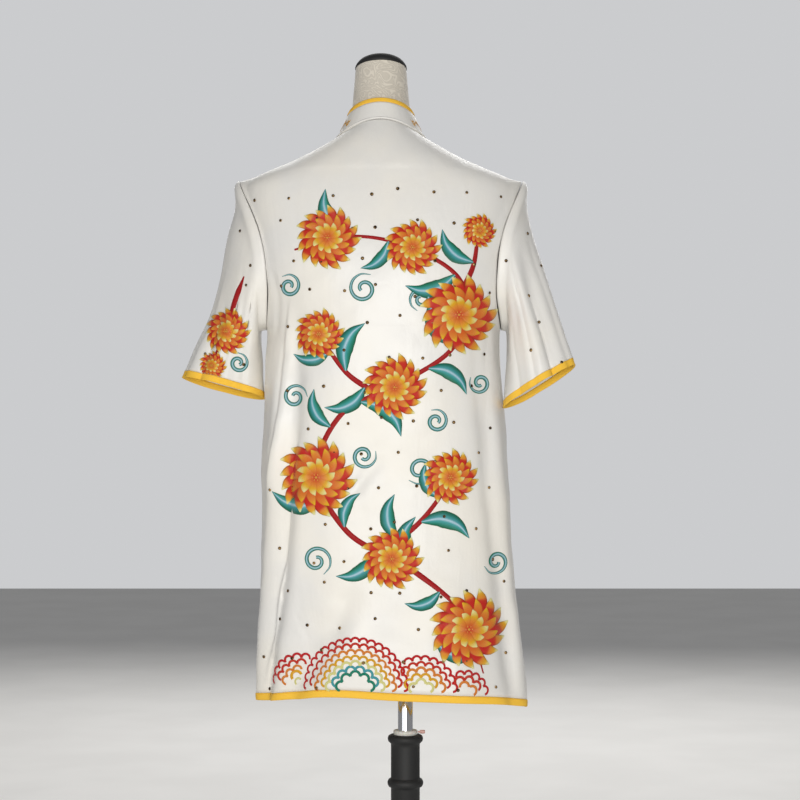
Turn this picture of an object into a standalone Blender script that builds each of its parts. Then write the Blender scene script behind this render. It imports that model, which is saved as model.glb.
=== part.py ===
"""A short-sleeved wushu uniform top, worn by a limbless dress form on a turned stand.

Metres, +Z up. The origin is the middle of the stand's underside. The wearer's back faces -Y, and the
wearer's right side is at +X. Every cloth piece is a wall of its own, cut along the real seams.
"""

from collections import namedtuple

import bmesh
import bpy
import numpy as np

# Thicknesses, gaps and widths of the sewn pieces
CLOTH = 0.0016
BOUND_CLOTH = 0.0022
BINDING_LIFT = 0.0003
SEAM = 0.0004
HEM_BINDING = 0.011
CUFF_BINDING = 0.010
COLLAR_CLOTH = 0.0022
COLLAR_BINDING_SHARE = 0.19

# Heights of the garment
HEM_Z = 0.555
UNDERARM_Z = 1.110
SHOULDER_Z = 1.330
VENT_LENGTH = 0.150
VENT_OPEN = 1.3

# Shape of the trunk
CORNER = 2.4
NECK_CORNER = 2.0
ARMHOLE_OPEN = 32.0
HEAD_BULGE = 0.009
UNDERARM_BULGE = 0.013
BULGE_REACH = 0.018

# The fronts close right over left, and the left one sinks under the right one's edge
CLOSING_EDGE = 92.0
UNDERLAP_EDGE = 84.0
SINK_FROM = 108.0
SINK_TO = 100.0
SINK = 0.0032

# Frog fastenings down the front
FROG_TOP_Z = 1.309
FROG_STEP = 0.086
FROG_COUNT = 7
FROG_START = 0.0065
FROG_END = 0.0460
FROG_WIDTH = 0.0070
FROG_HEIGHT = 0.0032
KNOT_RADIUS = 0.0056
KNOT_LIFT = 0.0002
FROG_LIFT = 0.0008

# Dress form and stand
FORM_GAP = 0.0005
FORM_FRONT_GAP = 0.0060
POLE_RADIUS = 0.011
POLE_LOW_Z = 0.250
FORM_BOTTOM_Z = 0.640
COLUMN_TOP_Z = 0.5075
BORE_LOW_Z = 0.110
BORE_CLEARANCE = 0.0001
BUSH_RADIUS = 0.0180
BUSH_HEIGHT = 0.0070
SCREW_RADIUS = 0.0028
SCREW_LENGTH = 0.0110
BASE_RADIUS = 0.185

# Steps of the faceted solids
TRUNK_COLUMNS = 24
SLEEVE_COLUMNS = 20
TURNED_STEPS = 32
SLOPE_STEPS = (0.5, 0.004)
TRUNK_ROWS = (0.610, 0.660, 0.705, 0.750, 0.793, 0.836, 0.879, 0.922, 0.965, 1.008, 1.051)
SHOULDER_ROWS = (0.14, 0.32, 0.52, 0.72, 0.88)

Section = namedtuple("Section", "z middle half back front")
Cuff = namedtuple("Cuff", "side x y z half deep tilt droop")
Fold = namedtuple("Fold", "top_turn top_z low_turn low_z sweep width depth")
SleeveFold = namedtuple("SleeveFold", "side turn drift start end width depth")
NeckRing = namedtuple("NeckRing", "z rise fall arch half deep middle_y")

# Outer face of the worn cloth, from the hem to the shoulder tips
TRUNK = [
    Section(0.500, -0.0185, 0.1985, 0.131, 0.124),
    Section(0.560, -0.0190, 0.1975, 0.130, 0.124),
    Section(0.640, -0.0218, 0.1945, 0.128, 0.123),
    Section(0.700, -0.0250, 0.1903, 0.126, 0.122),
    Section(0.780, -0.0272, 0.1869, 0.122, 0.121),
    Section(0.860, -0.0293, 0.1842, 0.119, 0.122),
    Section(0.960, -0.0310, 0.1805, 0.118, 0.126),
    Section(1.050, -0.0325, 0.1748, 0.120, 0.133),
    Section(1.110, -0.0315, 0.1735, 0.121, 0.135),
    Section(1.154, -0.0340, 0.1800, 0.121, 0.131),
    Section(1.200, -0.0345, 0.1920, 0.120, 0.123),
    Section(1.270, -0.0357, 0.2030, 0.114, 0.103),
    Section(1.330, -0.0363, 0.2100, 0.098, 0.080),
]

# Outer face of the dress form below the shoulders
FIGURE = [
    Section(0.640, -0.0010, 0.134, 0.084, 0.080),
    Section(0.650, -0.0015, 0.149, 0.096, 0.091),
    Section(0.700, -0.0040, 0.160, 0.105, 0.097),
    Section(0.780, -0.0080, 0.163, 0.107, 0.098),
    Section(0.860, -0.0120, 0.150, 0.098, 0.090),
    Section(0.940, -0.0165, 0.128, 0.084, 0.086),
    Section(1.020, -0.0210, 0.135, 0.086, 0.101),
    Section(1.100, -0.0260, 0.148, 0.097, 0.122),
    Section(1.170, -0.0300, 0.156, 0.106, 0.116),
    Section(1.240, -0.0335, 0.172, 0.104, 0.098),
    Section(1.290, -0.0352, 0.185, 0.095, 0.080),
]

# Rings of the dress form's neck: height at the sides, rise behind, fall in front, and how late both come
NECK = [
    NeckRing(1.3909, 0.0226, 0.0435, 2.4, 0.0600, 0.0565, -0.0010),
    NeckRing(1.4065, 0.0200, 0.0432, 2.1, 0.0540, 0.0520, -0.0008),
    NeckRing(1.4185, 0.0175, 0.0423, 1.8, 0.0480, 0.0470, 0.0000),
    NeckRing(1.4342, 0.0140, 0.0413, 1.5, 0.0434, 0.0430, 0.0010),
    NeckRing(1.4550, 0.0120, 0.0280, 1.5, 0.0415, 0.0400, 0.0025),
    NeckRing(1.4780, 0.0100, 0.0160, 1.4, 0.0395, 0.0380, 0.0040),
    NeckRing(1.4975, 0.0095, 0.0095, 1.0, 0.0378, 0.0365, 0.0050),
]
CAP_RINGS = [(1.00, 0.0003), (1.00, 0.0034), (0.93, 0.0085), (0.75, 0.0136), (0.42, 0.0183)]
CAP_TOP = 0.0200

# Neckline and top of the collar: height at the sides, rise behind, fall in front, and how late both come
NECKLINE = {
    "half": 0.0655, "back": 0.062, "front": 0.060, "z": 1.3931, "rise": 0.0226, "fall": 0.0435, "arch": 2.4,
}
COLLAR_TOP = {
    "half": 0.0465, "back": 0.052, "front": 0.050, "z": 1.4342, "rise": 0.0140, "fall": 0.0413, "arch": 1.5,
}
COLLAR_GAP = 4.0
COLLAR_ROUNDING = 16.0
COLLAR_END_DROP = 0.006

# Height of the hem round the body: turn, height
HEM_LINE = [
    (0, 0.549), (45, 0.541), (90, 0.547), (135, 0.551), (180, 0.560), (222, 0.5715), (247, 0.580), (275, 0.5745),
    (315, 0.566), (360, 0.549),
]

CUFFS = {
    1: Cuff(1, 0.1975, -0.052, 1.0240, 0.0610, 0.050, 29.0, 0.018),
    -1: Cuff(-1, -0.2735, 0.018, 1.0225, 0.0635, 0.054, 14.0, 0.014),
}

# How far each sleeve's outer side hangs inside the straight line from shoulder to cuff, by reach
HOLLOWS = {
    1: [(0.0, 0.0), (0.1, 0.011), (0.25, 0.016), (0.5, 0.0145), (0.75, 0.008), (0.9, 0.0065), (1.0, 0.005)],
    -1: [(0.0, 0.0), (0.1, 0.012), (0.25, 0.015), (0.5, 0.0215), (0.7, 0.0205), (0.85, 0.010), (1.0, 0.003)],
}

# The largest folds of the trunk: turn and height at each end, how late the line sweeps over, and size
FOLDS = [
    Fold(226, 1.20, 194, 0.545, 4.0, 0.020, -0.0100),
    Fold(212, 1.12, 186, 0.560, 2.5, 0.022, 0.0060),
    Fold(249, 0.72, 222, 0.560, 1.0, 0.022, -0.0075),
    Fold(262, 0.70, 240, 0.560, 1.0, 0.026, 0.0045),
    Fold(318, 1.16, 330, 0.620, 1.5, 0.018, -0.0050),
    Fold(332, 1.06, 344, 0.560, 1.5, 0.022, 0.0050),
    Fold(286, 0.78, 300, 0.545, 1.5, 0.030, 0.0040),
    Fold(30, 1.10, 20, 0.540, 1.3, 0.024, -0.0070),
    Fold(58, 1.02, 50, 0.530, 1.6, 0.030, -0.0055),
    Fold(124, 1.02, 131, 0.540, 1.4, 0.028, -0.0060),
    Fold(152, 1.10, 163, 0.550, 1.6, 0.024, -0.0070),
]
SLEEVE_FOLDS = [
    SleeveFold(1, 52, 10, 0.16, 1.1, 0.014, -0.0070),
    SleeveFold(1, 96, 30, 0.06, 1.1, 0.018, -0.0060),
    SleeveFold(1, 20, 4, 0.30, 1.1, 0.012, 0.0030),
    SleeveFold(1, 285, -18, 0.22, 1.1, 0.018, -0.0060),
    SleeveFold(-1, 80, 30, 0.10, 1.1, 0.016, -0.0050),
    SleeveFold(-1, 38, 18, 0.45, 1.1, 0.014, -0.0050),
    SleeveFold(-1, 290, -22, 0.10, 1.1, 0.018, -0.0060),
]

# Turned profile of the column and base, radius and height, from the bore's rim down the outside
COLUMN_PROFILE = [
    (0.0225, 0.5072), (0.0258, 0.5045), (0.0262, 0.5005), (0.0245, 0.4965), (0.0215, 0.4940),
    (0.0215, 0.4430), (0.0250, 0.4408), (0.0267, 0.4357), (0.0250, 0.4306), (0.0215, 0.4284),
    (0.0215, 0.1700), (0.0245, 0.1660), (0.0275, 0.1560), (0.0245, 0.1460), (0.0225, 0.1420),
    (0.0260, 0.1150), (0.0330, 0.0800), (0.0360, 0.0600), (0.0360, 0.0460), (0.0300, 0.0420),
    (0.0300, 0.0312),
]
BASE_PROFILE = [
    (0.0300, 0.0309), (0.0600, 0.0305), (0.1100, 0.0270), (0.1500, 0.0215), (0.1740, 0.0165),
    (0.1830, 0.0120), (BASE_RADIUS, 0.0070), (0.1830, 0.0020), (0.1790, 0.0000),
]

COLOURS = {  # name: base colour, roughness, metallic
    "satin": ((0.86, 0.84, 0.81), 0.45, 0.0),
    "gold_satin": ((0.93, 0.55, 0.05), 0.35, 0.0),
    "gold_braid": ((0.85, 0.55, 0.10), 0.50, 0.0),
    "cover_cloth": ((0.66, 0.61, 0.53), 0.75, 0.0),
    "black_lacquer": ((0.010, 0.010, 0.011), 0.15, 0.0),
    "chrome": ((0.80, 0.80, 0.82), 0.10, 1.0),
    "nylon": ((0.78, 0.75, 0.70), 0.45, 0.0),
}


def sine(degrees):
    return np.sin(np.radians(degrees))


def cosine(degrees):
    return np.cos(np.radians(degrees))


def ease(low, high, at):
    """0 at low, 1 at high, smooth between them; low may be the greater."""
    share = np.clip((at - low) / (high - low), 0.0, 1.0)
    return share * share * (3.0 - 2.0 * share)


def through(xs, ys, at):
    """A smooth curve through points, held level past its ends."""
    xs, ys = np.asarray(xs, float), np.asarray(ys, float)
    slopes = np.gradient(ys, xs)
    at = np.clip(at, xs[0], xs[-1])
    i = np.clip(np.searchsorted(xs, at, side="right") - 1, 0, len(xs) - 2)
    span = xs[i + 1] - xs[i]
    s = (at - xs[i]) / span
    return (
        ys[i] * (1 + 2 * s) * (1 - s) ** 2
        + ys[i + 1] * s * s * (3 - 2 * s)
        + span * (slopes[i] * s * (1 - s) ** 2 - slopes[i + 1] * s * s * (1 - s))
    )


def column(table, name, z):
    """One column of a table of sections, at a height."""
    return through([row.z for row in table], [getattr(row, name) for row in table], z)


def oval(turn, half, back, front, corner):
    """Offset from the middle of a rounded oval, as x and y."""
    c, s = cosine(turn), sine(turn)
    x = half * np.sign(c) * np.abs(c) ** (2.0 / corner)
    y = np.where(s < 0, back, front) * np.sign(s) * np.abs(s) ** (2.0 / corner)
    return x, y


def joined(x, y, z):
    return np.stack(np.broadcast_arrays(x, y, z), axis=-1)


def arched(z, rise, fall, arch, turn):
    """Height of a ring round the neck that arches up behind and falls in front."""
    s = sine(turn)
    return z + np.where(s < 0, rise, -fall) * np.abs(s) ** arch


def ring_height(ring, turn):
    return arched(ring["z"], ring["rise"], ring["fall"], ring["arch"], turn)


def hem_height(turn):
    return through([t for t, _ in HEM_LINE], [z for _, z in HEM_LINE], np.mod(turn, 360.0))


def fold_depth(turn, z, girth):
    """How far the folds move the trunk's face outwards."""
    turn = np.mod(turn, 360.0)
    total = 0.0
    for fold in FOLDS:
        down = np.clip((fold.top_z - z) / (fold.top_z - fold.low_z), 0.0, 1.0)
        line = fold.top_turn + (fold.low_turn - fold.top_turn) * down**fold.sweep
        across = np.radians(turn - line) * girth
        fade = ease(0.0, 0.35, down)
        total = total + fold.depth * fade * np.exp(-((across / fold.width) ** 2))
    return total


def trunk(turn, rise):
    """A point of the worn cloth's outer face.

    turn is in degrees from the right side seam by way of the front. rise is 0 at the hem, 1 at the
    height of the shoulder tips and 2 at the neckline.
    """
    low = np.minimum(rise, 1.0)
    hem = hem_height(turn)
    z = HEM_Z + low * (SHOULDER_Z - HEM_Z) + (hem - HEM_Z) * (1.0 - low) ** 2
    half = column(TRUNK, "half", z)
    back = column(TRUNK, "back", z)
    front = column(TRUNK, "front", z)
    middle = column(TRUNK, "middle", z)
    x, y = oval(turn, half, back, front, CORNER)
    out = fold_depth(turn, z, 0.16)
    x, y = x + middle + out * cosine(turn), y + out * sine(turn)

    up = np.maximum(rise - 1.0, 0.0)
    neck_x, neck_y = oval(turn, NECKLINE["half"], NECKLINE["back"], NECKLINE["front"], NECK_CORNER)
    neck_x = neck_x + middle
    inward = up**0.78
    hollow = np.where(sine(turn) < 0, up**1.5, up**1.15)
    x = x + (neck_x - x) * inward
    y = y + (neck_y - y) * hollow
    z = z + (ring_height(NECKLINE, turn) - SHOULDER_Z) * up
    return joined(x, y, z)


def rise_at(z):
    """The rise of a height between the hem and the shoulder tips."""
    return (z - HEM_Z) / (SHOULDER_Z - HEM_Z)


def side_open(rise):
    """How far a panel's edge stands from the side, at the armhole and at the vent, in degrees of turn."""
    low = rise_at(UNDERARM_Z)
    share = np.clip((rise - low) / (1.0 - low), 0.0, 1.0)
    vent = ease(rise_at(HEM_Z + VENT_LENGTH), 0.0, rise)
    return ARMHOLE_OPEN * np.sin(np.pi * share) ** 0.6 + VENT_OPEN * vent


def front_left(turn, rise):
    """The left front, which sinks under the right front's edge."""
    point = trunk(turn, rise)
    sink = SINK * ease(SINK_FROM, SINK_TO, turn)
    neck = 1.0 - ease(1.75, 2.0, rise) * 0.2
    point[..., 1] -= sink * neck
    return point


def sleeve(side):
    """The outer face of one sleeve, as a function of its turn and its reach.

    turn is 0 on the line from the shoulder tip, 90 at the back and 180 under the arm. reach is 0 at
    the armhole and 1 at the cuff.
    """
    cuff = CUFFS[side]
    middle = np.array([cuff.x, cuff.y, cuff.z])
    outward = np.array([side * cosine(cuff.tilt), 0.0, sine(cuff.tilt)])
    lift = cuff.droop / (2 * cuff.deep)
    backward = np.array([0.0, -np.sqrt(1 - lift * lift), lift])

    def face(turn, reach):
        c, s = cosine(turn), sine(turn)
        share = (1 + c) / 2
        rise = rise_at(armhole_height(turn))
        opening = side_open(rise) * -np.sign(s)
        start = trunk(opening if side > 0 else 180.0 - opening, rise)
        end = middle + cuff.half * c[..., None] * outward + cuff.deep * s[..., None] * backward
        along = reach[..., None]
        point = start + (end - start) * along
        rounding = (1 - np.exp(-reach / BULGE_REACH)) * (1 - reach)
        bulge = HEAD_BULGE * np.sqrt(share) + UNDERARM_BULGE * (1 - share)
        hollow = through(*zip(*HOLLOWS[side]), reach) * ease(0.28, 1.0, share)
        point[..., 0] += side * (SEAM + bulge * rounding - hollow)
        centre = np.array([side * 0.19 - 0.035, 0.0, 1.22]) * (1 - along) + middle * along
        away = point - centre
        away /= np.linalg.norm(away, axis=-1, keepdims=True)
        out = 0.0
        for fold in SLEEVE_FOLDS:
            if fold.side == side:
                line = fold.turn + fold.drift * reach
                off = np.mod(turn - line + 180.0, 360.0) - 180.0
                fade = ease(fold.start, fold.start + 0.4, reach)
                out = out + fold.depth * fade * np.exp(-((np.radians(off) * 0.06 / fold.width) ** 2))
        return point + away * np.asarray(out)[..., None]

    return face


def sleeve_length(side, turn):
    """Length of the sleeve from the armhole to the cuff, along one line."""
    face = sleeve(side)
    return np.linalg.norm(face(turn, np.ones_like(turn)) - face(turn, np.zeros_like(turn)), axis=-1)


def collar(turn, height):
    """The stand collar's outer face, 0 at the neckline and 1 at its top edge."""
    turn = np.mod(turn, 360.0)
    bottom = trunk(turn, np.full(np.shape(turn), 2.0))
    x, y = oval(turn, COLLAR_TOP["half"], COLLAR_TOP["back"], COLLAR_TOP["front"], NECK_CORNER)
    x = x + column(TRUNK, "middle", SHOULDER_Z)
    ends = ease(90 - COLLAR_ROUNDING, 90, turn) * ease(90 + COLLAR_ROUNDING, 90, turn)
    top = joined(x, y, ring_height(COLLAR_TOP, turn) - COLLAR_END_DROP * ends)
    point = bottom + (top - bottom) * np.asarray(height)[..., None]
    point[..., 2] += SEAM
    return point


def outward_normals(surface, a, b):
    """Unit normals of a surface by central differences, pointing away from its inside."""
    step_a, step_b = SLOPE_STEPS
    along = surface(a + step_a, b) - surface(a - step_a, b)
    up = surface(a, b + step_b) - surface(a, b - step_b)
    normal = np.cross(along, up)
    return normal / np.linalg.norm(normal, axis=-1, keepdims=True)


def trimmed(points, edges, gap):
    """The same grid with its named edges drawn in by a gap."""
    points = points.copy()
    moves = {"first": (0, 1), "last": (-1, -2)}
    for axis, end in edges:
        edge, inner = moves[end]
        grid = np.moveaxis(points, axis, 0)
        way = grid[inner] - grid[edge]
        grid[edge] += way / np.linalg.norm(way, axis=-1, keepdims=True) * gap
    return points


def new_object(name, mesh, material):
    mesh.materials.append(material_of(material))
    made = bpy.data.objects.new(name, mesh)
    bpy.context.scene.collection.objects.link(made)
    return made


def material_of(name):
    found = bpy.data.materials.get(name)
    if found:
        return found
    colour, roughness, metallic = COLOURS[name]
    made = bpy.data.materials.new(name)
    made.use_nodes = True
    shader = made.node_tree.nodes["Principled BSDF"]
    shader.inputs["Base Color"].default_value = (*colour, 1.0)
    shader.inputs["Roughness"].default_value = roughness
    shader.inputs["Metallic"].default_value = metallic
    return made


def solid(name, material, points, faces):
    """A closed body from points and faces, its normals outwards and its round sides smooth."""
    mesh = bpy.data.meshes.new(name)
    mesh.from_pydata([tuple(p) for p in points], [], faces)
    form = bmesh.new()
    form.from_mesh(mesh)
    bmesh.ops.recalc_face_normals(form, faces=form.faces)
    form.to_mesh(mesh)
    form.free()
    mesh.shade_smooth()
    mesh.set_sharp_from_angle(angle=np.radians(50))
    return new_object(name, mesh, material)


def wall(name, material, surface, a, b, thickness, lift=0.0, loop=False, trims=(), flip=False):
    """A cloth wall on a surface, over grids of its two parameters, rows first.

    lift moves the outer face out, and trims draws edges in so that sewn pieces don't touch.
    """
    a, b = np.broadcast_arrays(np.asarray(a, float), np.asarray(b, float))
    normals = outward_normals(surface, a, b) * (-1.0 if flip else 1.0)
    outer = surface(a, b) + normals * lift
    inner = outer - normals * thickness
    outer, inner = trimmed(outer, trims, SEAM / 2), trimmed(inner, trims, SEAM / 2)
    rows, columns = a.shape
    points = np.concatenate([outer.reshape(-1, 3), inner.reshape(-1, 3)])
    under = rows * columns
    faces = []
    for i in range(rows - 1):
        for j in range(columns if loop else columns - 1):
            k = (j + 1) % columns
            p, q, r, s = i * columns + j, i * columns + k, (i + 1) * columns + k, (i + 1) * columns + j
            for corners in ((p, q, r), (p, r, s)):
                faces.append(corners)
                faces.append(tuple(under + corner for corner in reversed(corners)))
    edge = [(j, (j + 1) % columns) for j in range(columns if loop else columns - 1)]
    top = (rows - 1) * columns
    rims = edge + [(top + k, top + j) for j, k in edge]
    if not loop:
        side = [(i * columns, (i + 1) * columns) for i in range(rows - 1)]
        rims += [(q, p) for p, q in side] + [(p + columns - 1, q + columns - 1) for p, q in side]
    for p, q in rims:
        faces += [(q, p, under + p), (q, under + p, under + q)]
    return solid(name, material, points, faces)


def rings_solid(name, material, rings):
    """A closed body through rings of equal count, capped flat at both ends."""
    rings = np.asarray(rings)
    count, columns = rings.shape[:2]
    faces = []
    for i in range(count - 1):
        for j in range(columns):
            k = (j + 1) % columns
            p, q, r, s = i * columns + j, i * columns + k, (i + 1) * columns + k, (i + 1) * columns + j
            faces += [(p, q, r), (p, r, s)]
    faces.append(tuple(range(columns)))
    faces.append(tuple((count - 1) * columns + j for j in reversed(range(columns))))
    return solid(name, material, rings.reshape(-1, 3), faces)


def turned(name, material, profile, closed=True):
    """A body of revolution about the Z axis; a profile that leaves the axis open is a tube."""
    form = bmesh.new()
    points = [form.verts.new((r, 0.0, z)) for r, z in profile]
    pairs = list(zip(points, points[1:])) + ([] if closed else [(points[-1], points[0])])
    edges = [form.edges.new(pair) for pair in pairs]
    bmesh.ops.spin(
        form, geom=points + edges, cent=(0, 0, 0), axis=(0, 0, 1),
        angle=2 * np.pi, steps=TURNED_STEPS, use_merge=True,
    )
    bmesh.ops.remove_doubles(form, verts=form.verts, dist=1e-6)
    bmesh.ops.holes_fill(form, edges=[e for e in form.edges if e.is_boundary])
    bmesh.ops.recalc_face_normals(form, faces=form.faces)
    mesh = bpy.data.meshes.new(name)
    form.to_mesh(mesh)
    form.free()
    mesh.shade_smooth()
    mesh.set_sharp_from_angle(angle=np.radians(35))
    return new_object(name, mesh, material)


def armhole_height(turn):
    """Height of the armhole's edge at a turn of the sleeve."""
    return UNDERARM_Z + (SHOULDER_Z - UNDERARM_Z) * (1 + cosine(turn)) / 2


def trunk_rows():
    """Rises of the rows between the hem's binding and the neckline, some shared with the sleeve's edge."""
    low = [rise_at(z) for z in TRUNK_ROWS]
    armhole = rise_at(armhole_height(np.linspace(180.0, 0.0, SLEEVE_COLUMNS // 2 + 1)))
    return low + list(armhole) + [1 + share for share in SHOULDER_ROWS + (1.0,)]


def binding_rise(turn):
    """Rise of the hem binding's upper edge."""
    height = SHOULDER_Z - HEM_Z - 2 * (hem_height(turn) - HEM_Z)
    return HEM_BINDING / height


def panel_grid(left, right, count):
    """Turns and rises of a trunk panel between two edges given as functions of rise."""
    share = np.linspace(0.0, 1.0, count + 1)
    rows = []
    turns = left(0.0) + (right(0.0) - left(0.0)) * share
    rows.append((turns, binding_rise(turns)))
    for rise in trunk_rows():
        turns = left(rise) + (right(rise) - left(rise)) * share
        rows.append((turns, np.full(count + 1, rise)))
    return np.array([r[0] for r in rows]), np.array([r[1] for r in rows])


ALL_EDGES = ((0, "first"), (0, "last"), (1, "first"), (1, "last"))

PANELS = {
    "back": (trunk, lambda r: 180 + side_open(r), lambda r: 360 - side_open(r), TRUNK_COLUMNS),
    "front_right": (trunk, side_open, lambda r: CLOSING_EDGE, TRUNK_COLUMNS // 2),
    "front_left": (front_left, lambda r: UNDERLAP_EDGE, lambda r: 180 - side_open(r), TRUNK_COLUMNS // 2),
}


def panel_turns(name):
    """Turns of a panel's columns above the shoulder tips."""
    _, left, right, count = PANELS[name]
    return np.linspace(left(1.0), right(1.0), count + 1)


def build_trunk():
    """Back, two fronts and the gold binding along each one's hem."""
    for name, (surface, left, right, count) in PANELS.items():
        turns, rises = panel_grid(left, right, count)
        wall(name, "satin", surface, turns, rises, CLOTH, trims=ALL_EDGES)
        edge = turns[0]
        rises = np.array([np.zeros_like(edge), binding_rise(edge)])
        wall(
            f"hem_binding_{name}", "gold_satin", surface, np.array([edge, edge]), rises,
            BOUND_CLOTH, lift=BINDING_LIFT, trims=ALL_EDGES,
        )


def build_sleeves():
    reaches = np.array([0.0, 0.02, 0.05, 0.10, 0.18, 0.29, 0.42, 0.56, 0.70, 0.85, 1.0])
    turns = np.arange(SLEEVE_COLUMNS) * 360.0 / SLEEVE_COLUMNS
    for side, name in ((1, "right"), (-1, "left")):
        face = sleeve(side)
        bound = 1.0 - CUFF_BINDING / sleeve_length(side, turns)
        grid = np.broadcast_to(turns, (len(reaches), len(turns)))
        wall(
            f"sleeve_{name}", "satin", face, grid, reaches[:, None] * bound, CLOTH,
            loop=True, trims=ALL_EDGES[:2], flip=side > 0,
        )
        wall(
            f"cuff_binding_{name}", "gold_satin", face, grid[:2], np.array([bound, np.ones_like(bound)]),
            BOUND_CLOTH, lift=BINDING_LIFT, loop=True, trims=ALL_EDGES[:2], flip=side > 0,
        )


def build_collar():
    """A stand collar open at the centre front, bound in gold along its top edge."""
    turns = np.linspace(90 + COLLAR_GAP, 450 - COLLAR_GAP, 41)
    top = 1.0 - COLLAR_BINDING_SHARE
    heights = np.array([0.0, 0.5, 1.0])[:, None] * top
    wall("collar", "satin", collar, turns[None, :], heights, COLLAR_CLOTH, trims=ALL_EDGES)
    wall(
        "collar_binding", "gold_satin", collar, turns[None, :], np.array([top, 1.0])[:, None],
        COLLAR_CLOTH + 2 * BINDING_LIFT, lift=BINDING_LIFT, trims=ALL_EDGES,
    )


def turn_at(offset, z):
    """The turn of a point of the front that stands an offset in x from the trunk's middle."""
    share = np.abs(offset) / column(TRUNK, "half", z)
    return 90.0 - np.sign(offset) * np.degrees(np.arcsin(share ** (CORNER / 2.0)))


def closing_offset(z):
    """Offset in x of the right front's closing edge."""
    return oval(CLOSING_EDGE, column(TRUNK, "half", z), 0.0, 0.0, CORNER)[0]


def frog_bar(name, surface, way, z):
    """Half of a straight frog: a flat braid bar lying on its front panel."""
    steps = 6
    offsets = closing_offset(z) + way * np.linspace(FROG_START, FROG_END, steps + 1)
    turns = turn_at(offsets, z)
    rises = np.full(steps + 1, rise_at(z))
    spine = surface(turns, rises)
    normals = outward_normals(surface, turns, rises)
    up = np.array([0.0, 0.0, 1.0])
    profile = [(-0.5, 0.0), (0.5, 0.0), (0.42, 0.65), (0.0, 1.0), (-0.42, 0.65)]
    rings = []
    for point, normal in zip(spine, normals):
        across = up - normal * normal[2]
        across /= np.linalg.norm(across)
        rings.append([
            point + normal * (FROG_LIFT + FROG_HEIGHT * h) + across * FROG_WIDTH * w for w, h in profile
        ])
    rings_solid(name, "gold_braid", rings)


def build_frogs():
    """Seven frogs down the front: a knot on the closing edge between two bars."""
    for i in range(FROG_COUNT):
        z = FROG_TOP_Z - i * FROG_STEP
        frog_bar(f"frog_right_{i + 1}", trunk, 1, z)
        frog_bar(f"frog_left_{i + 1}", front_left, -1, z)
        turn, rise = np.array(CLOSING_EDGE), np.array(rise_at(z))
        seat = trunk(turn, rise)
        normal = outward_normals(trunk, turn, rise)
        centre = seat + normal * (KNOT_RADIUS + KNOT_LIFT)
        form = bmesh.new()
        bmesh.ops.create_uvsphere(form, u_segments=10, v_segments=7, radius=KNOT_RADIUS)
        bmesh.ops.translate(form, verts=form.verts, vec=centre)
        mesh = bpy.data.meshes.new("knot")
        form.to_mesh(mesh)
        form.free()
        mesh.shade_smooth()
        new_object(f"frog_knot_{i + 1}", mesh, "gold_braid")


def build_form():
    """The whole torso with its neck, and the cap on the neck."""
    right = panel_turns("front_right")
    left = panel_turns("front_left")
    turns = np.concatenate([right, left[left > right[-1] + 1.0], panel_turns("back")[1:-1]])
    rings = []
    for row in FIGURE:
        x, y = oval(turns, row.half, row.back, row.front, CORNER)
        rings.append(joined(x + row.middle, y, row.z))
    for share in (0.0,) + SHOULDER_ROWS:
        rises = np.full(len(turns), 1 + share)
        normals = outward_normals(trunk, turns, rises)
        gap = FORM_GAP + FORM_FRONT_GAP * np.maximum(sine(turns), 0.0) ** 2
        gap = gap + (0.0 if share else CLOTH)
        rings.append(trunk(turns, rises) - normals * (CLOTH + gap)[:, None])
    middle = column(TRUNK, "middle", SHOULDER_Z)
    for ring in NECK:
        x, y = oval(turns, ring.half, ring.deep, ring.deep, NECK_CORNER)
        z = arched(ring.z, ring.rise, ring.fall, ring.arch, turns)
        rings.append(joined(x + middle, y + ring.middle_y, z))
    rings_solid("form_torso", "cover_cloth", rings)

    top = rings[-1]
    centre = top.mean(axis=0)
    cap = [centre + (top - centre) * share + np.array([0, 0, up]) for share, up in CAP_RINGS]
    cap.append(centre + (top - centre) * 0.12 + np.array([0, 0, CAP_TOP]))
    rings_solid("form_cap", "black_lacquer", cap)


def build_stand():
    """Chrome pole, its nylon bush and set screw, and the lacquered column and base."""
    bore = POLE_RADIUS + BORE_CLEARANCE
    pole_top = FORM_BOTTOM_Z - SEAM
    pole = [(0, pole_top), (POLE_RADIUS, pole_top), (POLE_RADIUS, POLE_LOW_Z), (0, POLE_LOW_Z)]
    turned("stand_pole", "chrome", pole)
    low, high = COLUMN_TOP_Z, COLUMN_TOP_Z + BUSH_HEIGHT
    bush = [(bore, high), (BUSH_RADIUS, high), (BUSH_RADIUS, low), (bore, low)]
    turned("stand_bush", "nylon", bush, closed=False)
    column_profile = [(0, BORE_LOW_Z), (bore, BORE_LOW_Z), (bore, COLUMN_PROFILE[0][1])] + COLUMN_PROFILE
    turned("stand_column", "black_lacquer", column_profile + [(0, COLUMN_PROFILE[-1][1])])
    turned("stand_base", "black_lacquer", [(0, BASE_PROFILE[0][1])] + BASE_PROFILE + [(0, 0)])
    form = bmesh.new()
    bmesh.ops.create_cone(
        form, cap_ends=True, segments=10, radius1=SCREW_RADIUS, radius2=SCREW_RADIUS * 0.85, depth=SCREW_LENGTH,
    )
    mesh = bpy.data.meshes.new("screw")
    form.to_mesh(mesh)
    form.free()
    screw = new_object("stand_set_screw", mesh, "nylon")
    screw.rotation_euler = (0.0, np.pi / 2, 0.0)
    screw.location = (BUSH_RADIUS + SEAM + SCREW_LENGTH / 2, 0.0, high - SCREW_RADIUS - SEAM)


def main():
    for old in list(bpy.data.objects):
        bpy.data.objects.remove(old)
    build_trunk()
    build_sleeves()
    build_collar()
    build_frogs()
    build_form()
    build_stand()


main()
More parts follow.
